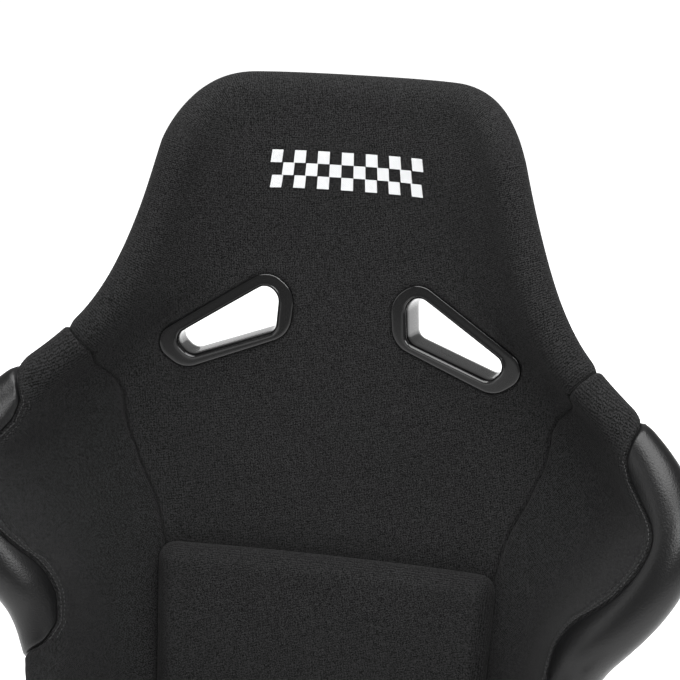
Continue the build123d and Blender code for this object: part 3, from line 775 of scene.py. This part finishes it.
def fabric_material():
    """Matt woven polyester, darker between its threads."""
    material, n, shader = new_material("cover_fabric", 0.95, Sheen_Weight=0.02, Sheen_Roughness=0.5,
                                       Specular_IOR_Level=0.15)
    place = n.add("ShaderNodeUVMap", uv_map="cloth").outputs[0]
    weave = n.add("ShaderNodeGroup", node_tree=shared_group("woven"))
    n.put(weave.inputs["Vector"], place)
    n.put(weave.inputs["Place"], n.add("ShaderNodeTexCoord").outputs["Object"])
    colour = colours().fabric
    threads = n.add("ShaderNodeMapRange", {"Value": weave.outputs["Threads"], "From Min": 0.54,
                                           "From Max": 0.80}).outputs[0]
    woven = n.mix(threads, tint(colour, 0.04), tint(colour, 4.2))
    shade = n.mix(weave.outputs["Shade"], (0.8, 0.8, 0.8, 1), (1, 1, 1, 1))
    toned = n.add("ShaderNodeMix", data_type="RGBA", blend_type="MULTIPLY")
    n.put(toned.inputs[0], 1.0)
    n.put(toned.inputs[6], woven)
    n.put(toned.inputs[7], shade)
    n.put(shader.inputs["Base Color"], toned.outputs[2])
    bump(n, shader, weave.outputs["Height"], 0.8, 0.0005)
    return material


def leather_material():
    """Fine-grained coated leather."""
    material, n, shader = new_material("patch_leather", 0.34, Specular_IOR_Level=0.34)
    place = n.add("ShaderNodeTexCoord").outputs["Object"]
    grain = n.add("ShaderNodeGroup", {"Scale": 850.0}, node_tree=shared_group("grain"))
    n.put(grain.inputs["Vector"], place)
    colour = colours().leather
    n.put(shader.inputs["Base Color"], n.mix(grain.outputs["Shade"], tint(colour, 0.8), tint(colour, 1.25)))
    rough = n.add("ShaderNodeMapRange", {"Value": grain.outputs["Height"], "To Min": 0.28, "To Max": 0.4})
    n.put(shader.inputs["Roughness"], rough.outputs[0])
    bump(n, shader, grain.outputs["Height"], 0.35, 0.0005)
    return material


def moulded_material(name, colour, low, high, fine_scale, strength, **sockets):
    """Moulded, cast or coated finish with fine texture and slow mottling."""
    material, n, shader = new_material(name, low, **sockets)
    place = n.add("ShaderNodeTexCoord").outputs["Object"]
    mottle = n.add("ShaderNodeGroup", {"Fine Scale": fine_scale}, node_tree=shared_group("mottle"))
    n.put(mottle.inputs["Vector"], place)
    n.put(shader.inputs["Base Color"], n.mix(mottle.outputs["Slow"], tint(colour, 0.85), tint(colour, 1.2)))
    rough = n.add("ShaderNodeMapRange", {"Value": mottle.outputs["Slow"], "From Min": 0.3, "From Max": 0.7,
                                         "To Min": low, "To Max": high})
    n.put(shader.inputs["Roughness"], rough.outputs[0])
    bump(n, shader, mottle.outputs["Fine"], strength, 0.0003)
    return material


def embroidery_material():
    """Satin-stitched thread, in close parallel rows."""
    material, n, shader = new_material("mark_thread", 0.5, Sheen_Weight=0.3)
    place = n.add("ShaderNodeTexCoord").outputs["Object"]
    rows = n.add("ShaderNodeTexWave", {"Vector": place, "Scale": 420.0, "Distortion": 1.2, "Detail": 1.0},
                 bands_direction="DIAGONAL").outputs["Fac"]
    colour = colours().mark
    n.put(shader.inputs["Base Color"], n.mix(rows, tint(colour, 0.62), tint(colour, 1.0)))
    bump(n, shader, rows, 0.5, 0.0005)
    return material


def tape_material():
    """Hook-and-loop tape."""
    material, n, shader = new_material("loop_tape", 0.95, Sheen_Weight=0.4)
    place = n.add("ShaderNodeTexCoord").outputs["Object"]
    fuzz = n.noise(place, 2400.0, 3.0)
    n.put(shader.inputs["Base Color"], n.mix(fuzz, (0.01, 0.01, 0.01, 1), (0.05, 0.05, 0.052, 1)))
    bump(n, shader, fuzz, 0.8, 0.0008)
    return material


def bezel_material():
    """Semi-gloss moulded plastic."""
    return moulded_material("bezel_plastic", colours().plastic, 0.34, 0.42, 2600.0, 0.06,
                            Specular_IOR_Level=0.1, Coat_Weight=0.9, Coat_Roughness=0.09)


def shell_material():
    """Glossy black gelcoat."""
    return moulded_material("shell_gelcoat", colours().shell, 0.12, 0.22, 700.0, 0.05,
                            Coat_Weight=0.6, Coat_Roughness=0.06)


def bracket_material():
    """Fine-textured powder coat."""
    return moulded_material("powder_coat", colours().steel, 0.42, 0.55, 1500.0, 0.35)


def zinc_material():
    """Bright zinc plate of the fasteners."""
    return moulded_material("zinc_plate", (0.52, 0.52, 0.50), 0.25, 0.42, 900.0, 0.08, Metallic=1.0)


def rubber_material():
    """Matt black edge rubber."""
    return moulded_material("edge_rubber", (0.012, 0.012, 0.012), 0.5, 0.65, 1900.0, 0.2)


def thread_material():
    """Bonded sewing thread."""
    return moulded_material("seam_thread", colours().thread, 0.55, 0.7, 3000.0, 0.3)


def foam_material():
    """Open-cell foam."""
    return moulded_material("foam", (0.08, 0.08, 0.085), 0.9, 0.95, 1200.0, 0.6)


MAKERS = {
    "fabric": fabric_material, "leather": leather_material, "mark": embroidery_material,
    "tape": tape_material, "bezel": bezel_material, "shell": shell_material,
    "bracket": bracket_material, "zinc": zinc_material, "rubber": rubber_material,
    "thread": thread_material, "foam": foam_material,
}
FINISHES = {}


def finish(name):
    """The named finish, made when it is first asked for."""
    if name not in FINISHES:
        FINISHES[name] = MAKERS[name]()
    return FINISHES[name]


# ---- cover panels --------------------------------------------------------------------------------
SIDE_NAMES = ((-1, "left"), (1, "right"))


def make_back_cover():
    """Centre panel with the head: one piece of fabric from the bite to the head's rolled edge."""
    pitch = size("mesh_pitch")
    s_low = spaced(BITE, HEAD_JOIN, pitch, (True, False))
    seam = seam_share(SHOULDER_SEAM, s_low)
    shares = edge_columns(BACK_ACROSS, pitch)
    low = cover_rows(-seam, seam, s_low, shares)
    last = low[-1]
    q = np.linspace(0, 1, int((TOP - HEAD_JOIN) / pitch) + 1)[1:]
    high = np.repeat(last[None], len(q), 0)
    s_high = HEAD_JOIN + (top_end(high) - HEAD_JOIN) * q[:, None]
    a = np.concatenate([low, high])
    s = np.concatenate([np.repeat(s_low[:, None], len(shares), 1), s_high])
    sheet = Sheet()
    face, facing = cover_points(a, s)
    flat = cloth_uv(face, s, centred=True)
    sheet.add(face, facing, flat)
    right = np.stack([np.ones(len(q) + 1), np.concatenate([[HEAD_JOIN], s_high[:, -1]])])
    top = np.stack([last[::-1][1:-1], top_end(last[::-1][1:-1])])
    left = right[:, ::-1] * np.array([[-1], [1]])
    us, ss = np.concatenate([right, top, left], 1)
    points, normals = edge_strip(us, ss)
    joined = len(s_low) - 1
    points[:, 0] = np.concatenate([face[joined:, -1], face[-1, ::-1][1:-1], face[joined:, 0][::-1]])
    border = np.concatenate([flat[joined:, -1], flat[-1, ::-1][1:-1], flat[joined:, 0][::-1]])
    run = np.linspace(0, ROLL_LENGTH, EDGE_COLUMNS) * MM
    upward = smooth((1 - np.abs(us)) * 20) * pi / 2
    outward = np.stack([np.sign(us) * np.cos(upward), np.sin(upward)], -1)
    sheet.add(points, normals, border[:, None] + run[:, None] * outward[:, None])
    sheet.make("head_and_back_cover", finish("fabric"),
               ["head_cover", "back_cover", "head_foam", "back_foam", "head_roll_left", "head_roll_right",
                "head_top_roll"])


def make_side_cover(side, name):
    """Fabric of one bolster, from the centre seam to the leather and round the edge."""
    pitch = size("mesh_pitch")
    s = spaced(BITE, HEAD_JOIN, pitch * 0.8)
    outer = np.where((s > WING_SEAM[0][0]) & (s < WING_SEAM[-1][0]), seam_share(WING_SEAM, s), ROLL_END)
    a = cover_rows(seam_share(SHOULDER_SEAM, s), outer, s, edge_columns(BOLSTER_ACROSS, pitch), side)
    rows = np.repeat(s[:, None], a.shape[1], 1)
    sheet = Sheet()
    face, facing = cover_points(a, rows)
    sheet.add(face, facing, cloth_uv(face, rows, turn=28), flip=side < 0)
    sheet.make(f"bolster_cover_{name}", finish("fabric"),
               [f"side_cover_{name}", f"side_foam_{name}", f"waist_roll_{name}"])


def make_patch(side, name, seam, label, node):
    """Leather patch from its seam round the edge."""
    s = spaced(seam[0][0] + 0.01, seam[-1][0] - 0.01, size("mesh_pitch") * 0.7)
    a = cover_rows(seam_share(seam, s), np.full(len(s), ROLL_END), s, edge_columns(PATCH_ACROSS, 5), side)
    rows = np.repeat(s[:, None], a.shape[1], 1)
    sheet = Sheet()
    face, facing = cover_points(a, rows)
    sheet.add(face, facing, cloth_uv(face, rows), flip=side < 0)
    sheet.make(f"{label}_{name}", finish("leather"), [f"{node}_{name}"])


def make_base_cover():
    """Centre panel of the base, with its rolled front edge."""
    pitch = size("mesh_pitch")
    shares = edge_columns(BASE_ACROSS, pitch)
    s = spaced(FRONT, BITE, pitch, (False, True))
    a = cover_rows(np.full(len(s), -BASE_SEAM), np.full(len(s), BASE_SEAM), s, shares)
    rows = np.repeat(s[:, None], a.shape[1], 1)
    sheet = Sheet()
    face, facing = cover_points(a, rows)
    flat = cloth_uv(face, rows, centred=True)
    sheet.add(face, facing, flat)
    points, normals = edge_strip(a[0], rows[0])
    points[:, 0] = face[0]
    run = np.linspace(0, ROLL_LENGTH, EDGE_COLUMNS) * MM
    sheet.add(points, normals, flat[0][:, None] - run[:, None] * np.array([0, 1]))
    sheet.make("base_cover_panel", finish("fabric"),
               ["base_cover", "base_foam", "front_roll"])


def make_thigh_cover(side, name):
    """Fabric of one thigh bolster, with its share of the rolled front edge."""
    pitch = size("mesh_pitch")
    s_back = spaced(THIGH_FRONT, BITE, pitch, (False, True))
    outer = np.where(s_back < THIGH_SEAM[-1][0], seam_share(THIGH_SEAM, s_back), ROLL_END)
    back = cover_rows(np.full(len(s_back), BASE_SEAM), outer, s_back, edge_columns(THIGH_PANEL, pitch))
    q = np.linspace(0, 1, 10)[:-1]
    front = np.repeat(back[:1], len(q), 0)
    s_front = front_end(front) + (THIGH_FRONT - front_end(front)) * q[:, None]
    a = np.concatenate([front, back]) * side
    s = np.concatenate([s_front, np.repeat(s_back[:, None], back.shape[1], 1)])
    sheet = Sheet()
    face, facing = cover_points(a, s)
    sheet.add(face, facing, cloth_uv(face, s, turn=-20), flip=side < 0)
    edge_u = np.concatenate([a[0], np.full(len(q), float(side))])
    edge_s = np.concatenate([s[0], np.concatenate([s_front[1:, -1], [THIGH_FRONT]])])
    points, normals = edge_strip(edge_u, edge_s)
    points[:, 0] = cover_points(edge_u, edge_s)[0]
    run = np.linspace(0, THIGH_ROLL, EDGE_COLUMNS)
    across = np.repeat(edge_u[:, None], EDGE_COLUMNS, 1) * THIGH_ACROSS
    uv = np.stack([across, edge_s[:, None] - run[None]], -1) * MM
    sheet.add(points, normals, uv, flip=side < 0)
    sheet.make(f"thigh_cover_panel_{name}", finish("fabric"),
               [f"thigh_cover_{name}", f"thigh_foam_{name}"])


# ---- stitching and trim --------------------------------------------------------------------------
def tube_along(points, radius, sides):
    """Vertices and faces of a round tube that follows a line of points."""
    tangent = unit(np.gradient(points, axis=0))
    helper = np.where(np.abs(tangent[:, 2:3]) > 0.9, np.array([[1.0, 0, 0]]), np.array([[0, 0, 1.0]]))
    first = unit(np.cross(tangent, helper))
    second = np.cross(tangent, first)
    angle = np.linspace(0, 2 * pi, sides, endpoint=False)
    ring = (np.cos(angle)[None, :, None] * first[:, None] + np.sin(angle)[None, :, None] * second[:, None])
    vertices = (points[:, None] + radius * ring).reshape(-1, 3)
    faces = grid_faces(len(points), sides, wrap=True)
    ends = [tuple(range(sides))[::-1], tuple(range((len(points) - 1) * sides, len(points) * sides))]
    return vertices, faces + ends


def stitches_along(line, normals):
    """Short capped threads, one after another along a line on the cover."""
    run = np.concatenate([[0], np.cumsum(np.linalg.norm(np.diff(line, axis=0), axis=1))])
    vertices, faces = [], []
    length = size("stitch_length")
    for start in np.arange(1.0, run[-1] - length, size("stitch_pitch")):
        at = start + np.linspace(0, length, len(STITCH_ARCH))
        points = np.stack([np.interp(at, run, line[:, k]) for k in range(3)], -1)
        lift = np.stack([np.interp(at, run, normals[:, k]) for k in range(3)], -1)
        points = points + lift * np.array(STITCH_ARCH)[:, None]
        tube, quads = tube_along(points, THREAD_RADIUS, 6)
        made = len(tube) * len(vertices)
        faces += [tuple(v + made for v in quad) for quad in quads]
        vertices.append(tube)
    return np.concatenate(vertices), faces


def make_stitching(side, name):
    """Two rows of stitches beside each leather seam."""
    for seam, span, label in STITCHED:
        vertices, faces = [], []
        for inward in STITCH_ROWS:
            line, normals = inside_seam(seam, side, inward, *span)
            line, _ = shaped(line, normals)
            more, quads = stitches_along(line, normals)
            start = sum(len(v) for v in vertices)
            faces += [tuple(v + start for v in quad) for quad in quads]
            vertices.append(more)
        obj = add_mesh(f"{label}_stitching_{name}", np.concatenate(vertices), faces, finish("thread"))
        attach(obj, "seat")


def hem_line():
    """The end of the rolled cover on the shell's outer face, all the way round."""
    s = np.linspace(front_end(1.0), top_end(1.0), 200)
    right = np.stack([np.ones(200), s])
    u = np.linspace(0.995, -0.995, 90)
    top = np.stack([u, top_end(u)])
    left = np.stack([-np.ones(200), s[::-1]])
    front = np.stack([-u, front_end(u)])
    us, ss = np.concatenate([right[:, :-1], top, left[:, 1:-1], front], 1)
    edge = shell_points(us, ss)
    _, normal = face_directions(us, ss)
    tangent = unit(np.roll(edge, -1, 0) - np.roll(edge, 1, 0))
    out = unit(np.cross(tangent, normal))
    points, _ = round_edge(edge, normal, out, np.ones(len(us)), edge_radius(ss))
    return points


def make_hem_trim():
    """Rubber bead that closes the cover's hem against the shell."""
    line = hem_line()
    for _ in range(3):
        line = (np.roll(line, 1, 0) + 2 * line + np.roll(line, -1, 0)) / 4
    tangent = unit(np.roll(line, -1, 0) - np.roll(line, 1, 0))
    first = unit(np.cross(tangent, np.array([[0.3, 0.2, 0.93]])))
    second = np.cross(tangent, first)
    sides = 10
    angle = np.linspace(0, 2 * pi, sides, endpoint=False)
    ring = np.cos(angle)[None, :, None] * first[:, None] + np.sin(angle)[None, :, None] * second[:, None]
    vertices = (line[:, None] + HEM_BEAD_RADIUS * ring)
    vertices = np.concatenate([vertices, vertices[:1]])
    faces = grid_faces(len(vertices), sides, wrap=True)
    last = len(line) * sides
    faces = [tuple(v - last if v >= last else v for v in face) for face in faces]
    obj = add_mesh("hem_bead", vertices[:-1].reshape(-1, 3), faces, finish("rubber"))
    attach(obj, "seat")


# ---- bezels --------------------------------------------------------------------------------------
def make_bezel(name, place, side, flange, opening, node):
    """Moulded bezel: flange, raised lip and grooved sleeve, lofted ring by ring."""
    centre, across, up, front = place_plane(place)
    rings = [(flange, *ring) for ring in FLANGE_RINGS]
    rings += [(opening, *ring) for ring in LIP_RINGS + SLEEVE_RINGS]
    points = []
    for outline, grow, height in rings:
        flat = rounded_outline(outline, grow)
        points.append(centre + flat[:, :1] * across + flat[:, 1:] * up + height * front)
    points = np.array(points) * np.array([side, 1, 1])
    count = points.shape[1]
    faces = grid_faces(len(rings), count, wrap=True, flip=side < 0)
    last = (len(rings) - 1) * count
    for j in range(count):
        k = (j + 1) % count
        face = (last + j, last + k, k, j)
        faces.append(face[::-1] if side < 0 else face)
    obj = add_mesh(name, points.reshape(-1, 3), faces, finish("bezel"))
    smooth_once(obj)
    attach(obj, "seat")
    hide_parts(node)


# ---- loose cushions ------------------------------------------------------------------------------
def share_at(x, s):
    """Side share that lies x from the middle plane, for arrays."""
    low, high = np.zeros_like(x), np.ones_like(x)
    for _ in range(24):
        middle = (low + high) / 2
        inside = shell_points(middle, s)[..., 0] < np.abs(x)
        low, high = np.where(inside, middle, low), np.where(inside, high, middle)
    return np.sign(x) * low


def round_corners(x, y, reach_x, reach_y):
    """Places of a rectangle drawn in at its corners, and their distance inside its outline."""
    dx = np.abs(x) - (reach_x - CUSHION_CORNER)
    dy = np.abs(y) - (reach_y - CUSHION_CORNER)
    at_corner = (dx > 0) & (dy > 0)
    square = np.maximum(dx, dy)
    squeeze = square / np.maximum(np.hypot(dx, dy), 1e-9)
    x = np.where(at_corner, np.sign(x) * (reach_x - CUSHION_CORNER + dx * squeeze), x)
    y = np.where(at_corner, np.sign(y) * (reach_y - CUSHION_CORNER + dy * squeeze), y)
    inside = np.minimum(reach_x - np.abs(x), reach_y - np.abs(y))
    inside = np.where(at_corner, CUSHION_CORNER - square, inside)
    return x, y, np.clip(inside, 0, None)


def cushion_height(x, y, inside, reach_x, reach_y):
    """Height of a cushion's face over the shell: straight wall, rounded edge and low crown."""
    edge = size("pad_edge")
    rounding = np.sqrt(np.clip(1 - (1 - np.clip(inside / edge, 0, 1)) ** 2, 0, 1))
    crown = size("pad_crown") * (1 - (x / reach_x) ** 2) * (1 - (y / reach_y) ** 4)
    wall = PAD_THICK - size("pad_crown") - edge
    return PAD_BACK + wall + edge * rounding + crown


def grid_rim(rows, columns):
    """Indices of a grid's outer vertices, in order round it."""
    first = [j for j in range(columns)]
    last = [(rows - 1) * columns + j for j in range(columns - 2, -1, -1)]
    right = [i * columns + columns - 1 for i in range(1, rows)]
    left = [i * columns for i in range(rows - 2, 0, -1)]
    return first + right + last + left


def make_cushion(name, extent, body, nodes, strap_opening=None):
    """Closed crowned cushion whose edge is rounded and whose back lies on the cover."""
    half_width, start, end = extent
    reach_x, reach_y = half_width - CUSHION_INSET, (end - start) / 2 - CUSHION_INSET
    columns, rows = CUSHION_COLUMNS, int((end - start) / CUSHION_ROW)
    x, y = np.meshgrid(np.linspace(-1, 1, columns), np.linspace(-1, 1, rows))
    x = np.sign(x) * np.abs(x) ** CUSHION_CROWDING[0] * reach_x
    y = np.sign(y) * np.abs(y) ** CUSHION_CROWDING[1] * reach_y
    x, y, inside = round_corners(x, y, reach_x, reach_y)
    s = (start + end) / 2 + y
    u = share_at(x, s)
    _, normal = face_directions(u, s)
    base = shell_points(u, s)
    top = base + cushion_height(x, y, inside, reach_x, reach_y)[..., None] * normal
    bottom = base + PAD_BACK * normal
    base, normal, top, bottom = [v.reshape(-1, 3) for v in (base, normal, top, bottom)]
    rim = grid_rim(rows, columns)
    middle = (top[rim] + bottom[rim]) / 2
    outward = middle - base.mean(0)
    outward = unit(outward - (outward * normal[rim]).sum(-1)[:, None] * normal[rim])
    girth = middle + CUSHION_BULGE * outward
    count = rows * columns
    faces = grid_faces(rows, columns) + grid_faces(rows, columns, count, flip=True)
    girth_ring = [2 * count + k for k in range(len(rim))]
    bottom_ring = [count + v for v in rim]
    for one, two in ((rim, girth_ring), (girth_ring, bottom_ring)):
        for k in range(len(rim)):
            m = (k + 1) % len(rim)
            faces.append((one[m], one[k], two[k], two[m]))
    uv = np.stack([x, s], -1).reshape(-1, 2) * MM
    uvs = np.concatenate([uv, uv, uv[rim] + 0.004])
    obj = add_mesh(name, np.concatenate([top, bottom, girth]), faces, finish("fabric"), uvs)
    smooth_once(obj)
    if strap_opening is not None:
        cut_hole(obj, *strap_opening)
    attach(obj, body)
    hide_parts(*nodes)


def cut_hole(obj, place, outline, grow):
    """Cut a straight opening through a piece."""
    centre, across, up, front = place_plane(place)
    flat = rounded_outline(outline, grow)
    rings = [centre + flat[:, :1] * across + flat[:, 1:] * up + h * front for h in CUTTER_SPAN]
    count = len(flat)
    faces = grid_faces(2, count, wrap=True) + [tuple(range(count))[::-1], tuple(range(count, 2 * count))]
    cutter = add_mesh("cutter", np.concatenate(rings), faces, finish("fabric"))
    cut = obj.modifiers.new("slot", "BOOLEAN")
    cut.operation = "DIFFERENCE"
    cut.solver = "EXACT"
    cut.object = cutter
    apply_modifiers(obj)
    bpy.data.objects.remove(cutter)


# ---- operators -----------------------------------------------------------------------------------
class SEAT_OT_back_cover(bpy.types.Operator):
    """Sew the one-piece head and back panel"""
    bl_idname = "seat.back_cover"
    bl_label = "Head and back cover"
    bl_options = {"REGISTER", "UNDO"}

    def execute(self, context):
        make_back_cover()
        return {"FINISHED"}


class SEAT_OT_side_covers(bpy.types.Operator):
    """Sew the bolsters' fabric and their leather wing patches"""
    bl_idname = "seat.side_covers"
    bl_label = "Bolsters and wing patches"
    bl_options = {"REGISTER", "UNDO"}

    def execute(self, context):
        for side, name in SIDE_NAMES:
            make_side_cover(side, name)
            make_patch(side, name, WING_SEAM, "wing_leather", "wing_patch")
        return {"FINISHED"}


class SEAT_OT_base_covers(bpy.types.Operator):
    """Sew the base panel, the thigh bolsters and their leather patches"""
    bl_idname = "seat.base_covers"
    bl_label = "Base and thigh covers"
    bl_options = {"REGISTER", "UNDO"}

    def execute(self, context):
        make_base_cover()
        for side, name in SIDE_NAMES:
            make_thigh_cover(side, name)
            make_patch(side, name, THIGH_SEAM, "thigh_leather", "thigh_patch")
        return {"FINISHED"}


class SEAT_OT_stitching(bpy.types.Operator):
    """Add the rows of stitches beside the leather seams"""
    bl_idname = "seat.stitching"
    bl_label = "Stitching"
    bl_options = {"REGISTER", "UNDO"}

    def execute(self, context):
        for side, name in SIDE_NAMES:
            make_stitching(side, name)
        return {"FINISHED"}


class SEAT_OT_hem_trim(bpy.types.Operator):
    """Close the hem against the shell with a rubber bead"""
    bl_idname = "seat.hem_trim"
    bl_label = "Hem bead"
    bl_options = {"REGISTER", "UNDO"}

    def execute(self, context):
        make_hem_trim()
        return {"FINISHED"}


class SEAT_OT_bezels(bpy.types.Operator):
    """Mould the bezels of the harness slots"""
    bl_idname = "seat.bezels"
    bl_label = "Slot bezels"
    bl_options = {"REGISTER", "UNDO"}

    def execute(self, context):
        for side, name in SIDE_NAMES:
            make_bezel(f"shoulder_bezel_moulding_{name}", SHOULDER_PLACE, side, SHOULDER_FLANGE,
                       SHOULDER_OPENING, f"shoulder_bezel_{name}")
            make_bezel(f"lap_bezel_moulding_{name}", LAP_PLACE, side, LAP_FLANGE, LAP_OPENING,
                       f"lap_bezel_{name}")
        make_bezel("strap_bezel_moulding", STRAP_PLACE, 1, STRAP_FLANGE, STRAP_OPENING, "strap_bezel")
        return {"FINISHED"}


class SEAT_OT_cushions(bpy.types.Operator):
    """Make the two loose cushions"""
    bl_idname = "seat.cushions"
    bl_label = "Loose cushions"
    bl_options = {"REGISTER", "UNDO"}

    def execute(self, context):
        make_cushion("back_cushion", BACK_PAD, "back_pad", ["back_pad_cover", "back_pad_foam"])
        make_cushion("seat_cushion", SEAT_PAD, "seat_pad", ["seat_pad_cover", "seat_pad_foam"],
                     strap_opening=(STRAP_PLACE, STRAP_OPENING, 8))
        return {"FINISHED"}


class SEAT_OT_frame_finish(bpy.types.Operator):
    """Give the shell, mounts, fasteners and other solid pieces their finish"""
    bl_idname = "seat.frame_finish"
    bl_label = "Shell and mounts"
    bl_options = {"REGISTER", "UNDO"}

    def execute(self, context):
        slots = {row["node"]: row["material_slot"] for row in frame["record"]["subparts"]}
        for name, obj in NODES.items():
            obj.data.materials.clear()
            obj.data.materials.append(finish(slots[name]))
        return {"FINISHED"}


class SEAT_OT_stage(bpy.types.Operator):
    """Set the floor, the soft lights and the camera"""
    bl_idname = "seat.stage"
    bl_label = "Stage"
    bl_options = {"REGISTER", "UNDO"}

    def execute(self, context):
        make_stage()
        return {"FINISHED"}


# ---- stage ---------------------------------------------------------------------------------------
CAMERA_AIM = (0.0, 0.335, 0.700)
CAMERA_AZIMUTH, CAMERA_ELEVATION, CAMERA_DISTANCE = 13.27, 22.13, 1.6
CAMERA_LENS, CAMERA_SHIFT = 108.42, (0.0084, 0.0396)
FLOOR_SPAN = 14000                     # half the floor's side, in millimetres
FLOOR_COLOUR, FLOOR_GLOW, SKY = 0.93, 0.75, 0.28
# Soft lights: name, place and target from the seat's middle in metres, width, power.
LIGHTS = [
    ("key_light", (1.5, -1.6, 2.0), (0, 0.1, 0.25), 1.4, 46),
    ("fill_light", (-1.9, -1.2, 1.0), (0, 0.1, 0.2), 1.6, 9),
    ("top_light", (0.1, 0.15, 2.1), (0, 0.2, 0.4), 2.2, 75),
]


def add_area(name, place, target, width, power):
    """Soft round light that faces its target."""
    light = bpy.data.lights.new(name, "AREA")
    light.shape = "DISK"
    light.size = width
    light.energy = power
    obj = bpy.data.objects.new(name, light)
    bpy.context.scene.collection.objects.link(obj)
    obj.location = place
    obj.rotation_mode = "QUATERNION"
    obj.rotation_quaternion = (Vector(target) - Vector(place)).to_track_quat("-Z", "Y")


def add_floor():
    """Pale floor that glows a little, so that it stays white behind the seat."""
    floor_material, _, shader = new_material("studio_floor", 0.8)
    shader.inputs["Base Color"].default_value = (FLOOR_COLOUR, FLOOR_COLOUR, FLOOR_COLOUR, 1)
    shader.inputs["Emission Color"].default_value = (1, 1, 1, 1)
    shader.inputs["Emission Strength"].default_value = FLOOR_GLOW
    corners = [(x * FLOOR_SPAN, y * FLOOR_SPAN, 0) for x, y in ((-1, -1), (1, -1), (1, 1), (-1, 1))]
    floor = add_mesh("studio_floor", corners, [(0, 1, 2, 3)], floor_material, smooth_faces=False)


def add_camera():
    """Camera above eye level and a little to the right, with a long lens."""
    camera_data = bpy.data.cameras.new("camera")
    camera = bpy.data.objects.new("camera", camera_data)
    bpy.context.scene.collection.objects.link(camera)
    azimuth, elevation = np.radians([CAMERA_AZIMUTH, CAMERA_ELEVATION])
    back = Vector((np.sin(azimuth) * np.cos(elevation), -np.cos(azimuth) * np.cos(elevation),
                   np.sin(elevation)))
    camera.location = Vector(CAMERA_AIM) + back * CAMERA_DISTANCE
    camera.rotation_mode = "QUATERNION"
    camera.rotation_quaternion = (-back).to_track_quat("-Z", "Y")
    camera_data.lens = CAMERA_LENS
    camera_data.sensor_width = 36
    camera_data.shift_x, camera_data.shift_y = CAMERA_SHIFT
    bpy.context.scene.camera = camera


def make_stage():
    """Floor, even white surroundings, soft lights and camera."""
    scene = bpy.context.scene
    add_floor()
    world = bpy.data.worlds.new("studio")
    scene.world = world
    world.use_nodes = True
    background = world.node_tree.nodes["Background"]
    background.inputs[0].default_value = (1, 1, 1, 1)
    background.inputs[1].default_value = SKY
    middle = (CAD_LOW + CAD_HIGH) / 2
    for name, place, target, width, power in LIGHTS:
        add_area(name, middle + Vector(place), middle + Vector(target), width, power)
    add_camera()
    scene.view_settings.view_transform = "Standard"


# ---- panel and registration ----------------------------------------------------------------------
PIECE_OPERATORS = (SEAT_OT_frame_finish, SEAT_OT_back_cover, SEAT_OT_side_covers, SEAT_OT_base_covers,
                   SEAT_OT_stitching, SEAT_OT_hem_trim, SEAT_OT_bezels, SEAT_OT_cushions, SEAT_OT_stage)


class SEAT_PT_panel(bpy.types.Panel):
    """The seat's sizes, colours and pieces"""
    bl_label = "Racing Seat"
    bl_space_type = "VIEW_3D"
    bl_region_type = "UI"
    bl_category = "Seat"

    def draw(self, context):
        for settings in (context.scene.seat_sizes, context.scene.seat_colours):
            for key in settings.__annotations__:
                self.layout.prop(settings, key)
        for operator in PIECE_OPERATORS:
            self.layout.operator(operator.bl_idname)


CLASSES = (SeatSizes, SeatColours) + PIECE_OPERATORS + (SEAT_PT_panel,)


def register():
    for one in CLASSES:
        bpy.utils.register_class(one)
    bpy.types.Scene.seat_sizes = bpy.props.PointerProperty(type=SeatSizes)
    bpy.types.Scene.seat_colours = bpy.props.PointerProperty(type=SeatColours)


def unregister():
    del bpy.types.Scene.seat_sizes
    del bpy.types.Scene.seat_colours
    for one in reversed(CLASSES):
        bpy.utils.unregister_class(one)


def main():
    register()
    for operator in PIECE_OPERATORS:
        getattr(bpy.ops.seat, operator.bl_idname.split(".")[1])()


if __name__ == "__main__":
    main()
